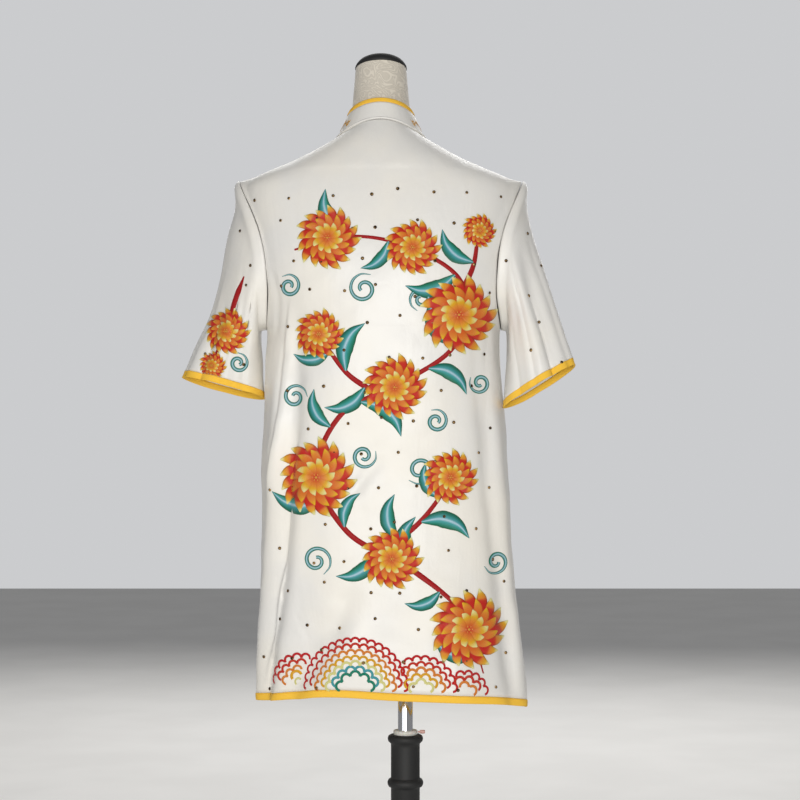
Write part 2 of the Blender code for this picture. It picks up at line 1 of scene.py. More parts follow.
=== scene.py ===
"""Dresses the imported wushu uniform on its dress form: cloth, bindings, embroidery, studs, frogs and stand.

Laid out as a Blender add-on and run as a script. The surface functions are the ones that the solids are
made from, with finer folds on top, so that every piece sits where its solid is.
"""

from collections import namedtuple

import bmesh
import bpy
import numpy as np
from bpy.props import FloatProperty, FloatVectorProperty, IntProperty, PointerProperty
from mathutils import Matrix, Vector
from mathutils.bvhtree import BVHTree


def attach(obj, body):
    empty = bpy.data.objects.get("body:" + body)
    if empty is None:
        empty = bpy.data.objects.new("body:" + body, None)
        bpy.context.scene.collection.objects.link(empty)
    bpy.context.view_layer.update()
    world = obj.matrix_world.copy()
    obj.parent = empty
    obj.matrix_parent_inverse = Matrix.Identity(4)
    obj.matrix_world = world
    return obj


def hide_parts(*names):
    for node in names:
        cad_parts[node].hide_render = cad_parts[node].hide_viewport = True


bl_info = {
    "name": "Wushu uniform on a dress form",
    "version": (1, 0, 0),
    "blender": (4, 5, 0),
    "location": "3D View > Sidebar > Uniform",
    "description": "Makes a short-sleeved wushu uniform top, its embroidery and the dress form that wears it",
    "category": "Add Mesh",
}

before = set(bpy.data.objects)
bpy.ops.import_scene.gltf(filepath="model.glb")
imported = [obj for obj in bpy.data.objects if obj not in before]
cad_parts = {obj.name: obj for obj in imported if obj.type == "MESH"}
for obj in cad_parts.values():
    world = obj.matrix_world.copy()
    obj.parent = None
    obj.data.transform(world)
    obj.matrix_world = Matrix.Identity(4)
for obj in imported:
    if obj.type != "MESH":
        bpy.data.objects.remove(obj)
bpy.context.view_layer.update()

# Shape of the worn cloth, as in the part's source
CLOTH = 0.0016
BODY_GIRTH = 0.16
SLEEVE_GIRTH = 0.06
BOUND_CLOTH = 0.0022
BINDING_LIFT = 0.0003
SEAM = 0.0004
HEM_BINDING = 0.011
CUFF_BINDING = 0.010
COLLAR_CLOTH = 0.0022
COLLAR_BINDING_SHARE = 0.19
HEM_Z = 0.555
UNDERARM_Z = 1.110
SHOULDER_Z = 1.330
VENT_LENGTH = 0.150
VENT_OPEN = 1.3
CORNER = 2.4
NECK_CORNER = 2.0
ARMHOLE_OPEN = 32.0
HEAD_BULGE = 0.009
UNDERARM_BULGE = 0.013
BULGE_REACH = 0.018
CLOSING_EDGE = 92.0
UNDERLAP_EDGE = 84.0
SINK_FROM = 108.0
SINK_TO = 100.0
SINK = 0.0032
FROG_TOP_Z = 1.309
FROG_STEP = 0.086
FROG_COUNT = 7
FROG_START = 0.0065
FROG_END = 0.0460
KNOT_RADIUS = 0.0056
COLLAR_GAP = 4.0
COLLAR_ROUNDING = 16.0
COLLAR_END_DROP = 0.006

# Finer parts that only the scene has; lengths are in metres, turns in degrees
BOUND_ROWS = 7
BOUND_ROUNDING = 0.0009
FROG_CORD = 0.0016
WELT_HEIGHT = 0.045
STITCH_LIFT = 0.0003
BOUND_STITCH_LIFT = 0.0012
STITCH_INSET = 2.2
THREAD_GAP = 0.00015
FULL_THREAD_WIDTH = 0.006
BODY_SEED, SLEEVE_SEED = 5, 9
RIPPLES, RIPPLE_LENGTHS, RIPPLE_HEIGHT = 14, (0.035, 0.14), 0.0026
STUD_LOW, STUD_HIGH, STUD_LEFT, STUD_RIGHT = 0.590, 1.345, -0.345, 0.26
STUD_JITTER, STUD_LIFT = 0.011, 0.0011
FRONT_MIDDLE, FROG_ROOM = -0.045, 0.062

Section = namedtuple("Section", "z middle half back front")
Cuff = namedtuple("Cuff", "side x y z half deep tilt droop")
Fold = namedtuple("Fold", "top_turn top_z low_turn low_z sweep width depth")
SleeveFold = namedtuple("SleeveFold", "side turn drift start end width depth")
NeckRing = namedtuple("NeckRing", "z rise fall arch half deep middle_y")
Crease = namedtuple("Crease", "path height right left")

TRUNK = [
    Section(0.500, -0.0185, 0.1985, 0.131, 0.124),
    Section(0.560, -0.0190, 0.1975, 0.130, 0.124),
    Section(0.640, -0.0218, 0.1945, 0.128, 0.123),
    Section(0.700, -0.0250, 0.1903, 0.126, 0.122),
    Section(0.780, -0.0272, 0.1869, 0.122, 0.121),
    Section(0.860, -0.0293, 0.1842, 0.119, 0.122),
    Section(0.960, -0.0310, 0.1805, 0.118, 0.126),
    Section(1.050, -0.0325, 0.1748, 0.120, 0.133),
    Section(1.110, -0.0315, 0.1735, 0.121, 0.135),
    Section(1.154, -0.0340, 0.1800, 0.121, 0.131),
    Section(1.200, -0.0345, 0.1920, 0.120, 0.123),
    Section(1.270, -0.0357, 0.2030, 0.114, 0.103),
    Section(1.330, -0.0363, 0.2100, 0.098, 0.080),
]
FIGURE = [
    Section(0.640, -0.0010, 0.134, 0.084, 0.080),
    Section(0.650, -0.0015, 0.149, 0.096, 0.091),
    Section(0.700, -0.0040, 0.160, 0.105, 0.097),
    Section(0.780, -0.0080, 0.163, 0.107, 0.098),
    Section(0.860, -0.0120, 0.150, 0.098, 0.090),
    Section(0.940, -0.0165, 0.128, 0.084, 0.086),
    Section(1.020, -0.0210, 0.135, 0.086, 0.101),
    Section(1.100, -0.0260, 0.148, 0.097, 0.122),
    Section(1.170, -0.0300, 0.156, 0.106, 0.116),
    Section(1.240, -0.0335, 0.172, 0.104, 0.098),
    Section(1.290, -0.0352, 0.185, 0.095, 0.080),
]
NECK = [
    NeckRing(1.3909, 0.0226, 0.0435, 2.4, 0.0600, 0.0565, -0.0010),
    NeckRing(1.4065, 0.0200, 0.0432, 2.1, 0.0540, 0.0520, -0.0008),
    NeckRing(1.4185, 0.0175, 0.0423, 1.8, 0.0480, 0.0470, 0.0000),
    NeckRing(1.4342, 0.0140, 0.0413, 1.5, 0.0434, 0.0430, 0.0010),
    NeckRing(1.4550, 0.0120, 0.0280, 1.5, 0.0415, 0.0400, 0.0025),
    NeckRing(1.4780, 0.0100, 0.0160, 1.4, 0.0395, 0.0380, 0.0040),
    NeckRing(1.4975, 0.0095, 0.0095, 1.0, 0.0378, 0.0365, 0.0050),
]
NECKLINE = {
    "half": 0.0655, "back": 0.062, "front": 0.060, "z": 1.3931, "rise": 0.0226, "fall": 0.0435, "arch": 2.4,
}
COLLAR_TOP = {
    "half": 0.0465, "back": 0.052, "front": 0.050, "z": 1.4342, "rise": 0.0140, "fall": 0.0413, "arch": 1.5,
}
HEM_LINE = [
    (0, 0.549), (45, 0.541), (90, 0.547), (135, 0.551), (180, 0.560), (222, 0.5715), (247, 0.580), (275, 0.5745),
    (315, 0.566), (360, 0.549),
]
CUFFS = {
    1: Cuff(1, 0.1975, -0.052, 1.0240, 0.0610, 0.050, 29.0, 0.018),
    -1: Cuff(-1, -0.2735, 0.018, 1.0225, 0.0635, 0.054, 14.0, 0.014),
}
HOLLOWS = {
    1: [(0.0, 0.0), (0.1, 0.011), (0.25, 0.016), (0.5, 0.0145), (0.75, 0.008), (0.9, 0.0065), (1.0, 0.005)],
    -1: [(0.0, 0.0), (0.1, 0.012), (0.25, 0.015), (0.5, 0.0215), (0.7, 0.0205), (0.85, 0.010), (1.0, 0.003)],
}
FOLDS = [
    Fold(226, 1.20, 194, 0.545, 4.0, 0.020, -0.0100),
    Fold(212, 1.12, 186, 0.560, 2.5, 0.022, 0.0060),
    Fold(249, 0.72, 222, 0.560, 1.0, 0.022, -0.0075),
    Fold(262, 0.70, 240, 0.560, 1.0, 0.026, 0.0045),
    Fold(318, 1.16, 330, 0.620, 1.5, 0.018, -0.0050),
    Fold(332, 1.06, 344, 0.560, 1.5, 0.022, 0.0050),
    Fold(286, 0.78, 300, 0.545, 1.5, 0.030, 0.0040),
    Fold(30, 1.10, 20, 0.540, 1.3, 0.024, -0.0070),
    Fold(58, 1.02, 50, 0.530, 1.6, 0.030, -0.0055),
    Fold(124, 1.02, 131, 0.540, 1.4, 0.028, -0.0060),
    Fold(152, 1.10, 163, 0.550, 1.6, 0.024, -0.0070),
]
SLEEVE_FOLDS = [
    SleeveFold(1, 52, 10, 0.16, 1.1, 0.014, -0.0070),
    SleeveFold(1, 96, 30, 0.06, 1.1, 0.018, -0.0060),
    SleeveFold(1, 20, 4, 0.30, 1.1, 0.012, 0.0030),
    SleeveFold(1, 285, -18, 0.22, 1.1, 0.018, -0.0060),
    SleeveFold(-1, 80, 30, 0.10, 1.1, 0.016, -0.0050),
    SleeveFold(-1, 38, 18, 0.45, 1.1, 0.014, -0.0050),
    SleeveFold(-1, 290, -22, 0.10, 1.1, 0.018, -0.0060),
]
FINE_SLEEVE_FOLDS = [
    SleeveFold(1, 60, 8, 0.30, 1.1, 0.0040, -0.0034),
    SleeveFold(1, 78, 22, 0.02, 1.1, 0.0060, -0.0036),
    SleeveFold(1, 118, 14, 0.10, 1.1, 0.0050, -0.0028),
    SleeveFold(1, 30, 4, 0.05, 1.1, 0.0060, -0.0022),
    SleeveFold(-1, 66, 22, 0.20, 1.1, 0.0050, -0.0034),
    SleeveFold(-1, 104, 20, 0.05, 1.1, 0.0050, -0.0028),
    SleeveFold(-1, 45, 10, 0.45, 1.1, 0.0040, -0.0026),
    SleeveFold(-1, 25, -5, 0.10, 1.1, 0.0060, -0.0020),
]

# Finer creases: path in x and z as seen from behind or before, height, and width on either side of the path
BACK_CREASES = [
    Crease(
        [(-0.165, 1.165), (-0.171, 1.092), (-0.1815, 1.005), (-0.188, 0.959), (-0.196, 0.907), (-0.2035, 0.850)],
        0.0048, 0.013, 0.0030,
    ),
    Crease(
        [(-0.1480, 0.985), (-0.154, 0.907), (-0.160, 0.861), (-0.164, 0.807), (-0.168, 0.770), (-0.176, 0.742),
         (-0.183, 0.696), (-0.185, 0.665), (-0.196, 0.625), (-0.207, 0.575)], 0.0062, 0.018, 0.0030,
    ),
    Crease([(-0.167, 0.752), (-0.176, 0.732), (-0.171, 0.708)], -0.0014, 0.0030, 0.0030),
    Crease([(-0.060, 0.742), (-0.087, 0.715), (-0.108, 0.658), (-0.154, 0.594)], -0.0050, 0.016, 0.013),
    Crease([(-0.030, 0.930), (-0.058, 0.898), (-0.080, 0.860)], -0.0026, 0.0100, 0.0080),
    Crease([(-0.160, 0.698), (-0.148, 0.678), (-0.136, 0.657)], -0.0010, 0.0030, 0.0030),
    Crease([(-0.171, 1.095), (-0.180, 1.03), (-0.187, 0.970)], -0.0022, 0.0060, 0.0060),
    Crease([(-0.150, 0.925), (-0.159, 0.864), (-0.166, 0.795), (-0.170, 0.72)], -0.0016, 0.0070, 0.0060),
    Crease([(-0.055, 0.900), (-0.072, 0.880), (-0.088, 0.855)], -0.0014, 0.0060, 0.0050),
    Crease([(-0.115, 1.306), (-0.060, 1.309), (-0.002, 1.304)], -0.0011, 0.0050, 0.0060),
    Crease([(-0.020, 1.272), (0.010, 1.270), (0.032, 1.277)], -0.0012, 0.0050, 0.0050),
    Crease([(-0.214, 1.275), (-0.206, 1.262), (-0.205, 1.235)], -0.0014, 0.0040, 0.0030),
    Crease([(-0.195, 1.200), (-0.186, 1.150), (-0.190, 1.090)], -0.0020, 0.0050, 0.0050),
    Crease([(0.140, 1.195), (0.136, 1.120), (0.140, 1.030)], -0.0018, 0.0060, 0.0060),
    Crease([(0.121, 1.150), (0.118, 1.02), (0.124, 0.88)], -0.0016, 0.0090, 0.0070),
    Crease([(0.135, 0.800), (0.142, 0.700), (0.150, 0.575)], -0.0024, 0.0100, 0.0080),
    Crease([(0.158, 0.720), (0.163, 0.650), (0.166, 0.565)], 0.0024, 0.0100, 0.0060),
    Crease([(0.045, 0.690), (0.052, 0.630), (0.060, 0.580)], -0.0018, 0.0140, 0.0120),
    Crease([(-0.025, 0.640), (-0.030, 0.600), (-0.036, 0.570)], -0.0015, 0.0120, 0.0110),
    Crease([(-0.190, 0.640), (-0.197, 0.600), (-0.203, 0.572)], -0.0020, 0.0040, 0.0040),
    Crease([(0.090, 1.300), (0.118, 1.285), (0.150, 1.288)], -0.0010, 0.0060, 0.0060),
]
FRONT_CREASES = [
    Crease([(0.120, 1.120), (0.085, 1.060), (0.062, 0.980)], -0.0022, 0.0100, 0.0080),
    Crease([(-0.180, 1.120), (-0.140, 1.060), (-0.115, 0.985)], -0.0022, 0.0100, 0.0080),
    Crease([(0.150, 0.900), (0.120, 0.800), (0.112, 0.680)], -0.0024, 0.0120, 0.0090),
    Crease([(-0.185, 0.880), (-0.160, 0.780), (-0.150, 0.650)], -0.0024, 0.0120, 0.0090),
    Crease([(0.140, 1.260), (0.118, 1.205), (0.125, 1.150)], -0.0014, 0.0060, 0.0060),
    Crease([(-0.205, 1.260), (-0.185, 1.200), (-0.190, 1.140)], -0.0014, 0.0060, 0.0060),
    Crease([(0.045, 0.720), (0.040, 0.640), (0.048, 0.545)], 0.0020, 0.0160, 0.0120),
    Crease([(-0.095, 0.720), (-0.100, 0.630), (-0.095, 0.550)], 0.0020, 0.0160, 0.0120),
]

# Embroidery in x and z as seen from behind: a stem with chrysanthemums and leaves over rows of waves
STEMS = [  # path, leaves, side of the first leaf, and size of the leaves
    ([(0.112, 0.612), (0.088, 0.690), (0.010, 0.762), (-0.085, 0.818), (-0.128, 0.900), (-0.092, 0.985),
      (-0.005, 1.030), (0.074, 1.090), (0.082, 1.172), (0.012, 1.222), (-0.085, 1.240), (-0.160, 1.222)], 19, 1, 1.0),
    ([(-0.030, 0.790), (0.020, 0.830), (0.060, 0.880)], 3, 1, 1.0),
    ([(-0.040, 1.014), (-0.080, 1.040), (-0.118, 1.088)], 3, 1, 1.0),
    ([(0.080, 1.160), (0.098, 1.200), (0.104, 1.238)], 1, 1, 1.0),
    ([(-0.236, 1.186), (-0.250, 1.150), (-0.262, 1.108), (-0.284, 1.062)], 1, -1, 0.6),
]
BLOSSOMS = [  # x, z and radius
    (0.090, 0.676, 0.056), (-0.020, 0.778, 0.044), (-0.128, 0.894, 0.056), (-0.016, 1.024, 0.046),
    (0.076, 1.128, 0.056), (0.010, 1.224, 0.040), (-0.112, 1.238, 0.046), (0.064, 0.894, 0.040),
    (-0.124, 1.100, 0.036), (0.106, 1.250, 0.025), (-0.262, 1.106, 0.034), (-0.284, 1.056, 0.021),
]
CURLS = [  # x, z, radius, start and way round
    (0.020, 0.905, 0.017, 3.9, 1), (-0.060, 0.925, 0.015, 0.4, -1), (-0.128, 0.775, 0.018, 5.2, 1),
    (0.044, 0.975, 0.014, 2.0, -1), (-0.060, 1.165, 0.018, 1.1, 1), (0.022, 1.150, 0.014, 4.4, -1),
    (-0.160, 1.010, 0.015, 0.0, 1), (0.132, 0.770, 0.015, 3.4, 1), (-0.246, 1.060, 0.012, 1.6, -1),
    (0.108, 1.030, 0.013, 2.6, 1), (-0.168, 1.170, 0.014, 2.2, -1),
]
HILLS = [(-0.072, 0.590, 0.074), (-0.150, 0.594, 0.044), (0.022, 0.588, 0.050), (0.084, 0.582, 0.034)]
WAVE_ROWS = [  # distance in from the hill's edge, and colour
    (0.0040, (0.58, 0.008, 0.010)), (0.0125, (0.62, 0.030, 0.010)), (0.0210, (0.78, 0.240, 0.030)),
    (0.0295, (0.80, 0.400, 0.012)), (0.0375, (0.78, 0.740, 0.290)), (0.0450, (0.060, 0.360, 0.400)),
    (0.0525, (0.010, 0.230, 0.140)),
]
PETAL_RINGS = [  # petals, reach as a share of the radius, and colours from root to tip
    (16, 1.0, [
        (0.0, (0.56, 0.008, 0.010)), (0.70, (0.62, 0.020, 0.010)), (0.76, (0.80, 0.250, 0.030)),
        (0.88, (0.82, 0.430, 0.010)), (0.94, (0.85, 0.800, 0.330)), (1.0, (0.85, 0.820, 0.400)),
    ]),
    (13, 0.74, [
        (0.0, (0.56, 0.008, 0.010)), (0.50, (0.72, 0.110, 0.012)), (0.80, (0.80, 0.270, 0.030)),
        (0.90, (0.82, 0.450, 0.012)), (1.0, (0.82, 0.500, 0.020)),
    ]),
    (10, 0.48, [
        (0.0, (0.62, 0.030, 0.010)), (0.40, (0.80, 0.270, 0.030)), (0.62, (0.82, 0.450, 0.012)),
        (0.86, (0.85, 0.780, 0.300)), (1.0, (0.85, 0.820, 0.400)),
    ]),
]
TEAL_ACROSS = [
    (0.0, (0.010, 0.110, 0.045)), (0.16, (0.010, 0.230, 0.140)), (0.40, (0.060, 0.400, 0.420)),
    (0.50, (0.480, 0.680, 0.800)), (0.60, (0.060, 0.360, 0.400)), (0.84, (0.008, 0.180, 0.130)),
    (1.0, (0.010, 0.110, 0.045)),
]
STEM_RED = (0.42, 0.006, 0.008)
GOLD_THREAD = (0.72, 0.36, 0.04)

# Turned outlines of the stand, radius and height
COLUMN_PROFILE = [
    (0.0113, 0.5071), (0.0225, 0.5072), (0.0248, 0.5058), (0.0261, 0.5035), (0.0263, 0.5005), (0.0254, 0.4978),
    (0.0228, 0.4952), (0.0216, 0.4938), (0.0215, 0.4900), (0.0215, 0.4440), (0.0222, 0.4425), (0.0250, 0.4408),
    (0.0264, 0.4380), (0.0267, 0.4357), (0.0264, 0.4334), (0.0250, 0.4306), (0.0222, 0.4289), (0.0215, 0.4274),
    (0.0215, 0.1720), (0.0225, 0.1690), (0.0252, 0.1655), (0.0270, 0.1610), (0.0275, 0.1560), (0.0270, 0.1510),
    (0.0252, 0.1465), (0.0228, 0.1430), (0.0226, 0.1410), (0.0243, 0.1300), (0.0262, 0.1150), (0.0300, 0.0960),
    (0.0333, 0.0800), (0.0356, 0.0660), (0.0360, 0.0600), (0.0360, 0.0460), (0.0350, 0.0440), (0.0302, 0.0422),
    (0.0300, 0.0410), (0.0300, 0.0312),
]
CAP_PROFILE = [  # share of the neck's ring, and height
    (0.985, 0.0003), (1.015, 0.0006), (1.022, 0.0020), (1.012, 0.0036), (0.985, 0.0056), (0.93, 0.0085),
    (0.85, 0.0114), (0.74, 0.0139), (0.60, 0.0161), (0.44, 0.0179), (0.27, 0.0190), (0.10, 0.0195),
]
POLE_PROFILE = [(0.0106, 0.2501), (0.0110, 0.2506), (0.0110, 0.6390), (0.0106, 0.6395)]
FLANGE_PROFILE = [(0.0114, 0.6368), (0.0340, 0.6368), (0.0345, 0.6372), (0.0345, 0.6398)]
BUSH_PROFILE = [
    (0.0113, 0.5076), (0.0176, 0.5076), (0.0180, 0.5080), (0.0180, 0.5128), (0.0174, 0.5138), (0.0150, 0.5143),
    (0.0113, 0.5144),
]
SCREW_PROFILE = [
    (0.0012, 0.0), (0.0014, 0.0030), (0.0026, 0.0034), (0.0028, 0.0042), (0.0028, 0.0096), (0.0024, 0.0106),
    (0.0010, 0.0110),
]
BASE_PROFILE = [
    (0.0296, 0.0309), (0.0360, 0.0309), (0.0600, 0.0304), (0.0850, 0.0290), (0.1100, 0.0268), (0.1320, 0.0242),
    (0.1500, 0.0214), (0.1640, 0.0188), (0.1740, 0.0164), (0.1800, 0.0140), (0.1835, 0.0112), (0.1850, 0.0078),
    (0.1844, 0.0045), (0.1826, 0.0018), (0.1795, 0.0004), (0.1780, 0.0002),
]


def tint(name, description, default):
    return FloatVectorProperty(name=name, description=description, subtype="COLOR", size=3, default=default)


def distance(name, description, default):
    return FloatProperty(name=name, description=description, subtype="DISTANCE", default=default)


class UniformSettings(bpy.types.PropertyGroup):
    satin_colour: tint("Satin", "Colour of the satin", (0.82, 0.795, 0.745))
    # The gold's bright and deep colours are mixed as painted sheen: bright where the binding faces along Y, deep
    # elsewhere.
    gold_sheen_colour: tint("Gold satin", "Bright colour of the bindings", (0.95, 0.58, 0.005))
    gold_shade: tint("Gold shade", "Deep colour of the bindings", (0.52, 0.105, 0.002))
    cover_colour: tint("Form cover", "Colour of the dress form's cloth", (0.74, 0.68, 0.58))
    stud_size: distance("Stud", "Width of a stud", 0.0048)
    stud_spacing: distance("Stud spacing", "Distance between studs", 0.052)
    wave_span: distance("Wave", "Width of one wave of the hem's rows", 0.0115)
    leaf_length: distance("Leaf", "Length of an embroidered leaf", 0.066)
    stitch_pitch: distance("Stitch pitch", "Distance from stitch to stitch", 0.0034)
    stitch_width: distance("Stitch width", "Thickness of the sewing thread", 0.0005)
    seed: IntProperty(name="Seed", description="Seed of the studs' scatter", default=11)
    grain: distance("Mesh step", "Spacing of the cloth's mesh", 0.0036)


def settings():
    return bpy.context.scene.uniform


def sine(degrees):
    return np.sin(np.radians(degrees))


def cosine(degrees):
    return np.cos(np.radians(degrees))


def ease(low, high, at):
    """0 at low, 1 at high, smooth between them; low may be the greater."""
    share = np.clip((at - low) / (high - low), 0.0, 1.0)
    return share * share * (3.0 - 2.0 * share)


def through(xs, ys, at):
    """A smooth curve through points, held level past its ends."""
    xs, ys = np.asarray(xs, float), np.asarray(ys, float)
    slopes = np.gradient(ys, xs, axis=0)
    at = np.clip(at, xs[0], xs[-1])
    i = np.clip(np.searchsorted(xs, at, side="right") - 1, 0, len(xs) - 2)
    span = xs[i + 1] - xs[i]
    s = (at - xs[i]) / span
    if ys.ndim > 1:
        extra = (1,) * (ys.ndim - 1)
        span, s = span.reshape(span.shape + extra), s.reshape(s.shape + extra)
    return (
        ys[i] * (1 + 2 * s) * (1 - s) ** 2
        + ys[i + 1] * s * s * (3 - 2 * s)
        + span * (slopes[i] * s * (1 - s) ** 2 - slopes[i + 1] * s * s * (1 - s))
    )


def column(table, name, z):
    return through([row.z for row in table], [getattr(row, name) for row in table], z)


def oval(turn, half, back, front, corner):
    c, s = cosine(turn), sine(turn)
    x = half * np.sign(c) * np.abs(c) ** (2.0 / corner)
    y = np.where(s < 0, back, front) * np.sign(s) * np.abs(s) ** (2.0 / corner)
    return x, y


def joined(x, y, z):
    return np.stack(np.broadcast_arrays(x, y, z), axis=-1)


def unit(v):
    return v / np.maximum(np.linalg.norm(v, axis=-1, keepdims=True), 1e-12)


def arched(z, rise, fall, arch, turn):
    s = sine(turn)
    return z + np.where(s < 0, rise, -fall) * np.abs(s) ** arch


def ring_height(ring, turn):
    return arched(ring["z"], ring["rise"], ring["fall"], ring["arch"], turn)


def hem_height(turn):
    return through([t for t, _ in HEM_LINE], [z for _, z in HEM_LINE], np.mod(turn, 360.0))


def fold_depth(turn, z):
    """How far the large folds move the body's cloth outwards; each fades in over its first third."""
    turn = np.mod(turn, 360.0)
    total = 0.0
    for fold in FOLDS:
        down = np.clip((fold.top_z - z) / (fold.top_z - fold.low_z), 0.0, 1.0)
        line = fold.top_turn + (fold.low_turn - fold.top_turn) * down**fold.sweep
        across = np.radians(turn - line) * BODY_GIRTH
        total = total + fold.depth * ease(0.0, 0.35, down) * np.exp(-((across / fold.width) ** 2))
    return total


def trunk(turn, rise):
    """A point of the worn cloth's outer face, by turn from the right side seam and rise from the hem."""
    low = np.minimum(rise, 1.0)
    z = HEM_Z + low * (SHOULDER_Z - HEM_Z) + (hem_height(turn) - HEM_Z) * (1.0 - low) ** 2
    middle = column(TRUNK, "middle", z)
    x, y = oval(turn, column(TRUNK, "half", z), column(TRUNK, "back", z), column(TRUNK, "front", z), CORNER)
    out = fold_depth(turn, z)
    x, y = x + middle + out * cosine(turn), y + out * sine(turn)
    up = np.maximum(rise - 1.0, 0.0)
    neck_x, neck_y = oval(turn, NECKLINE["half"], NECKLINE["back"], NECKLINE["front"], NECK_CORNER)
    x = x + (neck_x + middle - x) * up**0.78
    y = y + (neck_y - y) * np.where(sine(turn) < 0, up**1.5, up**1.15)
    z = z + (ring_height(NECKLINE, turn) - SHOULDER_Z) * up
    return joined(x, y, z)


def rise_at(z):
    return (z - HEM_Z) / (SHOULDER_Z - HEM_Z)


def side_open(rise):
    low = rise_at(UNDERARM_Z)
    share = np.clip((rise - low) / (1.0 - low), 0.0, 1.0)
    return ARMHOLE_OPEN * np.sin(np.pi * share) ** 0.6 + VENT_OPEN * ease(rise_at(HEM_Z + VENT_LENGTH), 0.0, rise)


def front_left(turn, rise):
    point = trunk(turn, rise)
    point[..., 1] -= SINK * ease(SINK_FROM, SINK_TO, turn) * (1.0 - ease(1.75, 2.0, rise) * 0.2)
    return point


def armhole_height(turn):
    return UNDERARM_Z + (SHOULDER_Z - UNDERARM_Z) * (1 + cosine(turn)) / 2


def sleeve(side, fine=False):
    """The outer face of one sleeve by its turn, 0 at the shoulder and 90 at the back, and its reach."""
    cuff = CUFFS[side]
    folds = SLEEVE_FOLDS + (FINE_SLEEVE_FOLDS if fine else [])
    middle = np.array([cuff.x, cuff.y, cuff.z])
    root = np.array([side * 0.19 - 0.035, 0.0, 1.22])
    outward = np.array([side * cosine(cuff.tilt), 0.0, sine(cuff.tilt)])
    lift = cuff.droop / (2 * cuff.deep)
    backward = np.array([0.0, -np.sqrt(1 - lift * lift), lift])

    def face(turn, reach):
        c, s = cosine(turn), sine(turn)
        share = (1 + c) / 2
        rise = rise_at(armhole_height(turn))
        opening = side_open(rise) * -np.sign(s)
        start = trunk(opening if side > 0 else 180.0 - opening, rise)
        end = middle + cuff.half * c[..., None] * outward + cuff.deep * s[..., None] * backward
        along = reach[..., None]
        point = start + (end - start) * along
        rounding = (1 - np.exp(-reach / BULGE_REACH)) * (1 - reach)
        bulge = HEAD_BULGE * np.sqrt(share) + UNDERARM_BULGE * (1 - share)
        hollow = through(*zip(*HOLLOWS[side]), reach) * ease(0.28, 1.0, share)
        point[..., 0] += side * (SEAM + bulge * rounding - hollow)
        centre = root * (1 - along) + middle * along
        away = unit(point - centre)
        out = np.zeros_like(reach)
        for fold in folds:
            if fold.side == side:
                off = np.mod(turn - fold.turn - fold.drift * reach + 180.0, 360.0) - 180.0
                fade = ease(fold.start, fold.start + 0.4, reach)
                out = out + fold.depth * fade * np.exp(-((np.radians(off) * SLEEVE_GIRTH / fold.width) ** 2))
        return point + away * out[..., None]

    return face


def sleeve_length(side, turn):
    face = sleeve(side)
    return np.linalg.norm(face(turn, np.ones_like(turn)) - face(turn, np.zeros_like(turn)), axis=-1)


def collar(turn, height):
    """The stand collar's outer face, 0 at the neckline and 1 at its top edge."""
    turn = np.mod(turn, 360.0)
    bottom = trunk(turn, np.full(np.shape(turn), 2.0))
    x, y = oval(turn, COLLAR_TOP["half"], COLLAR_TOP["back"], COLLAR_TOP["front"], NECK_CORNER)
    x = x + column(TRUNK, "middle", SHOULDER_Z)
    ends = ease(90 - COLLAR_ROUNDING, 90, turn) * ease(90 + COLLAR_ROUNDING, 90, turn)
    top = joined(x, y, ring_height(COLLAR_TOP, turn) - COLLAR_END_DROP * ends)
    point = bottom + (top - bottom) * np.asarray(height)[..., None]
    point[..., 2] += SEAM
    return point


def outward_normals(surface, a, b, steps=(0.5, 0.004)):
    along = surface(a + steps[0], b) - surface(a - steps[0], b)
    up = surface(a, b + steps[1]) - surface(a, b - steps[1])
    return unit(np.cross(along, up))


def binding_rise(turn):
    return HEM_BINDING / (SHOULDER_Z - HEM_Z - 2 * (hem_height(turn) - HEM_Z))


PANELS = {
    "back": (trunk, lambda r: 180 + side_open(r), lambda r: 360 - side_open(r)),
    "front_right": (trunk, side_open, lambda r: CLOSING_EDGE + 0 * r),
    "front_left": (front_left, lambda r: UNDERLAP_EDGE + 0 * r, lambda r: 180 - side_open(r)),
}


def crease_depth(creases, x, z):
    """How far the fine creases move the cloth outwards, by the signed distance from each one's path."""
    total = np.zeros_like(x)
    for crease in creases:
        path = smooth_path(crease.path, 24)
        best = np.full(x.shape, np.inf)
        signed = np.zeros_like(x)
        share = np.zeros_like(x)
        for i in range(len(path) - 1):
            a, b = path[i], path[i + 1]
            way = b - a
            length = np.hypot(*way)
            t = np.clip(((x - a[0]) * way[0] + (z - a[1]) * way[1]) / length**2, 0.0, 1.0)
            dx, dz = x - a[0] - t * way[0], z - a[1] - t * way[1]
            distance = np.hypot(dx, dz)
            nearer = distance < best
            side = np.sign(dx * way[1] - dz * way[0])
            best = np.where(nearer, distance, best)
            signed = np.where(nearer, -side * distance, signed)
            share = np.where(nearer, (i + t) / (len(path) - 1), share)
        width = np.where(signed > 0, crease.right, crease.left)
        total += crease.height * np.exp(-((signed / width) ** 2)) * ease(0.0, 0.22, share) * ease(1.0, 0.78, share)
    return total


def ripple(x, z, seed):
    """Slow unevenness of worn satin, well under a millimetre."""
    rng = np.random.default_rng(seed)
    total = np.zeros_like(x)
    for _ in range(RIPPLES):
        way = rng.uniform(0, np.pi)
        wave = rng.uniform(*RIPPLE_LENGTHS)
        phase = rng.uniform(0, 2 * np.pi)
        total += np.sin((x * np.cos(way) + z * np.sin(way)) / wave * 2 * np.pi + phase) * wave
    return total * RIPPLE_HEIGHT


def run_along(path, axis=0):
    """Distance run from the first point, for each point of a path."""
    steps = np.linalg.norm(np.diff(path, axis=axis), axis=-1)
    start = np.zeros_like(np.take(steps, [0], axis=axis))
    return np.concatenate([start, np.cumsum(steps, axis=axis)], axis=axis)


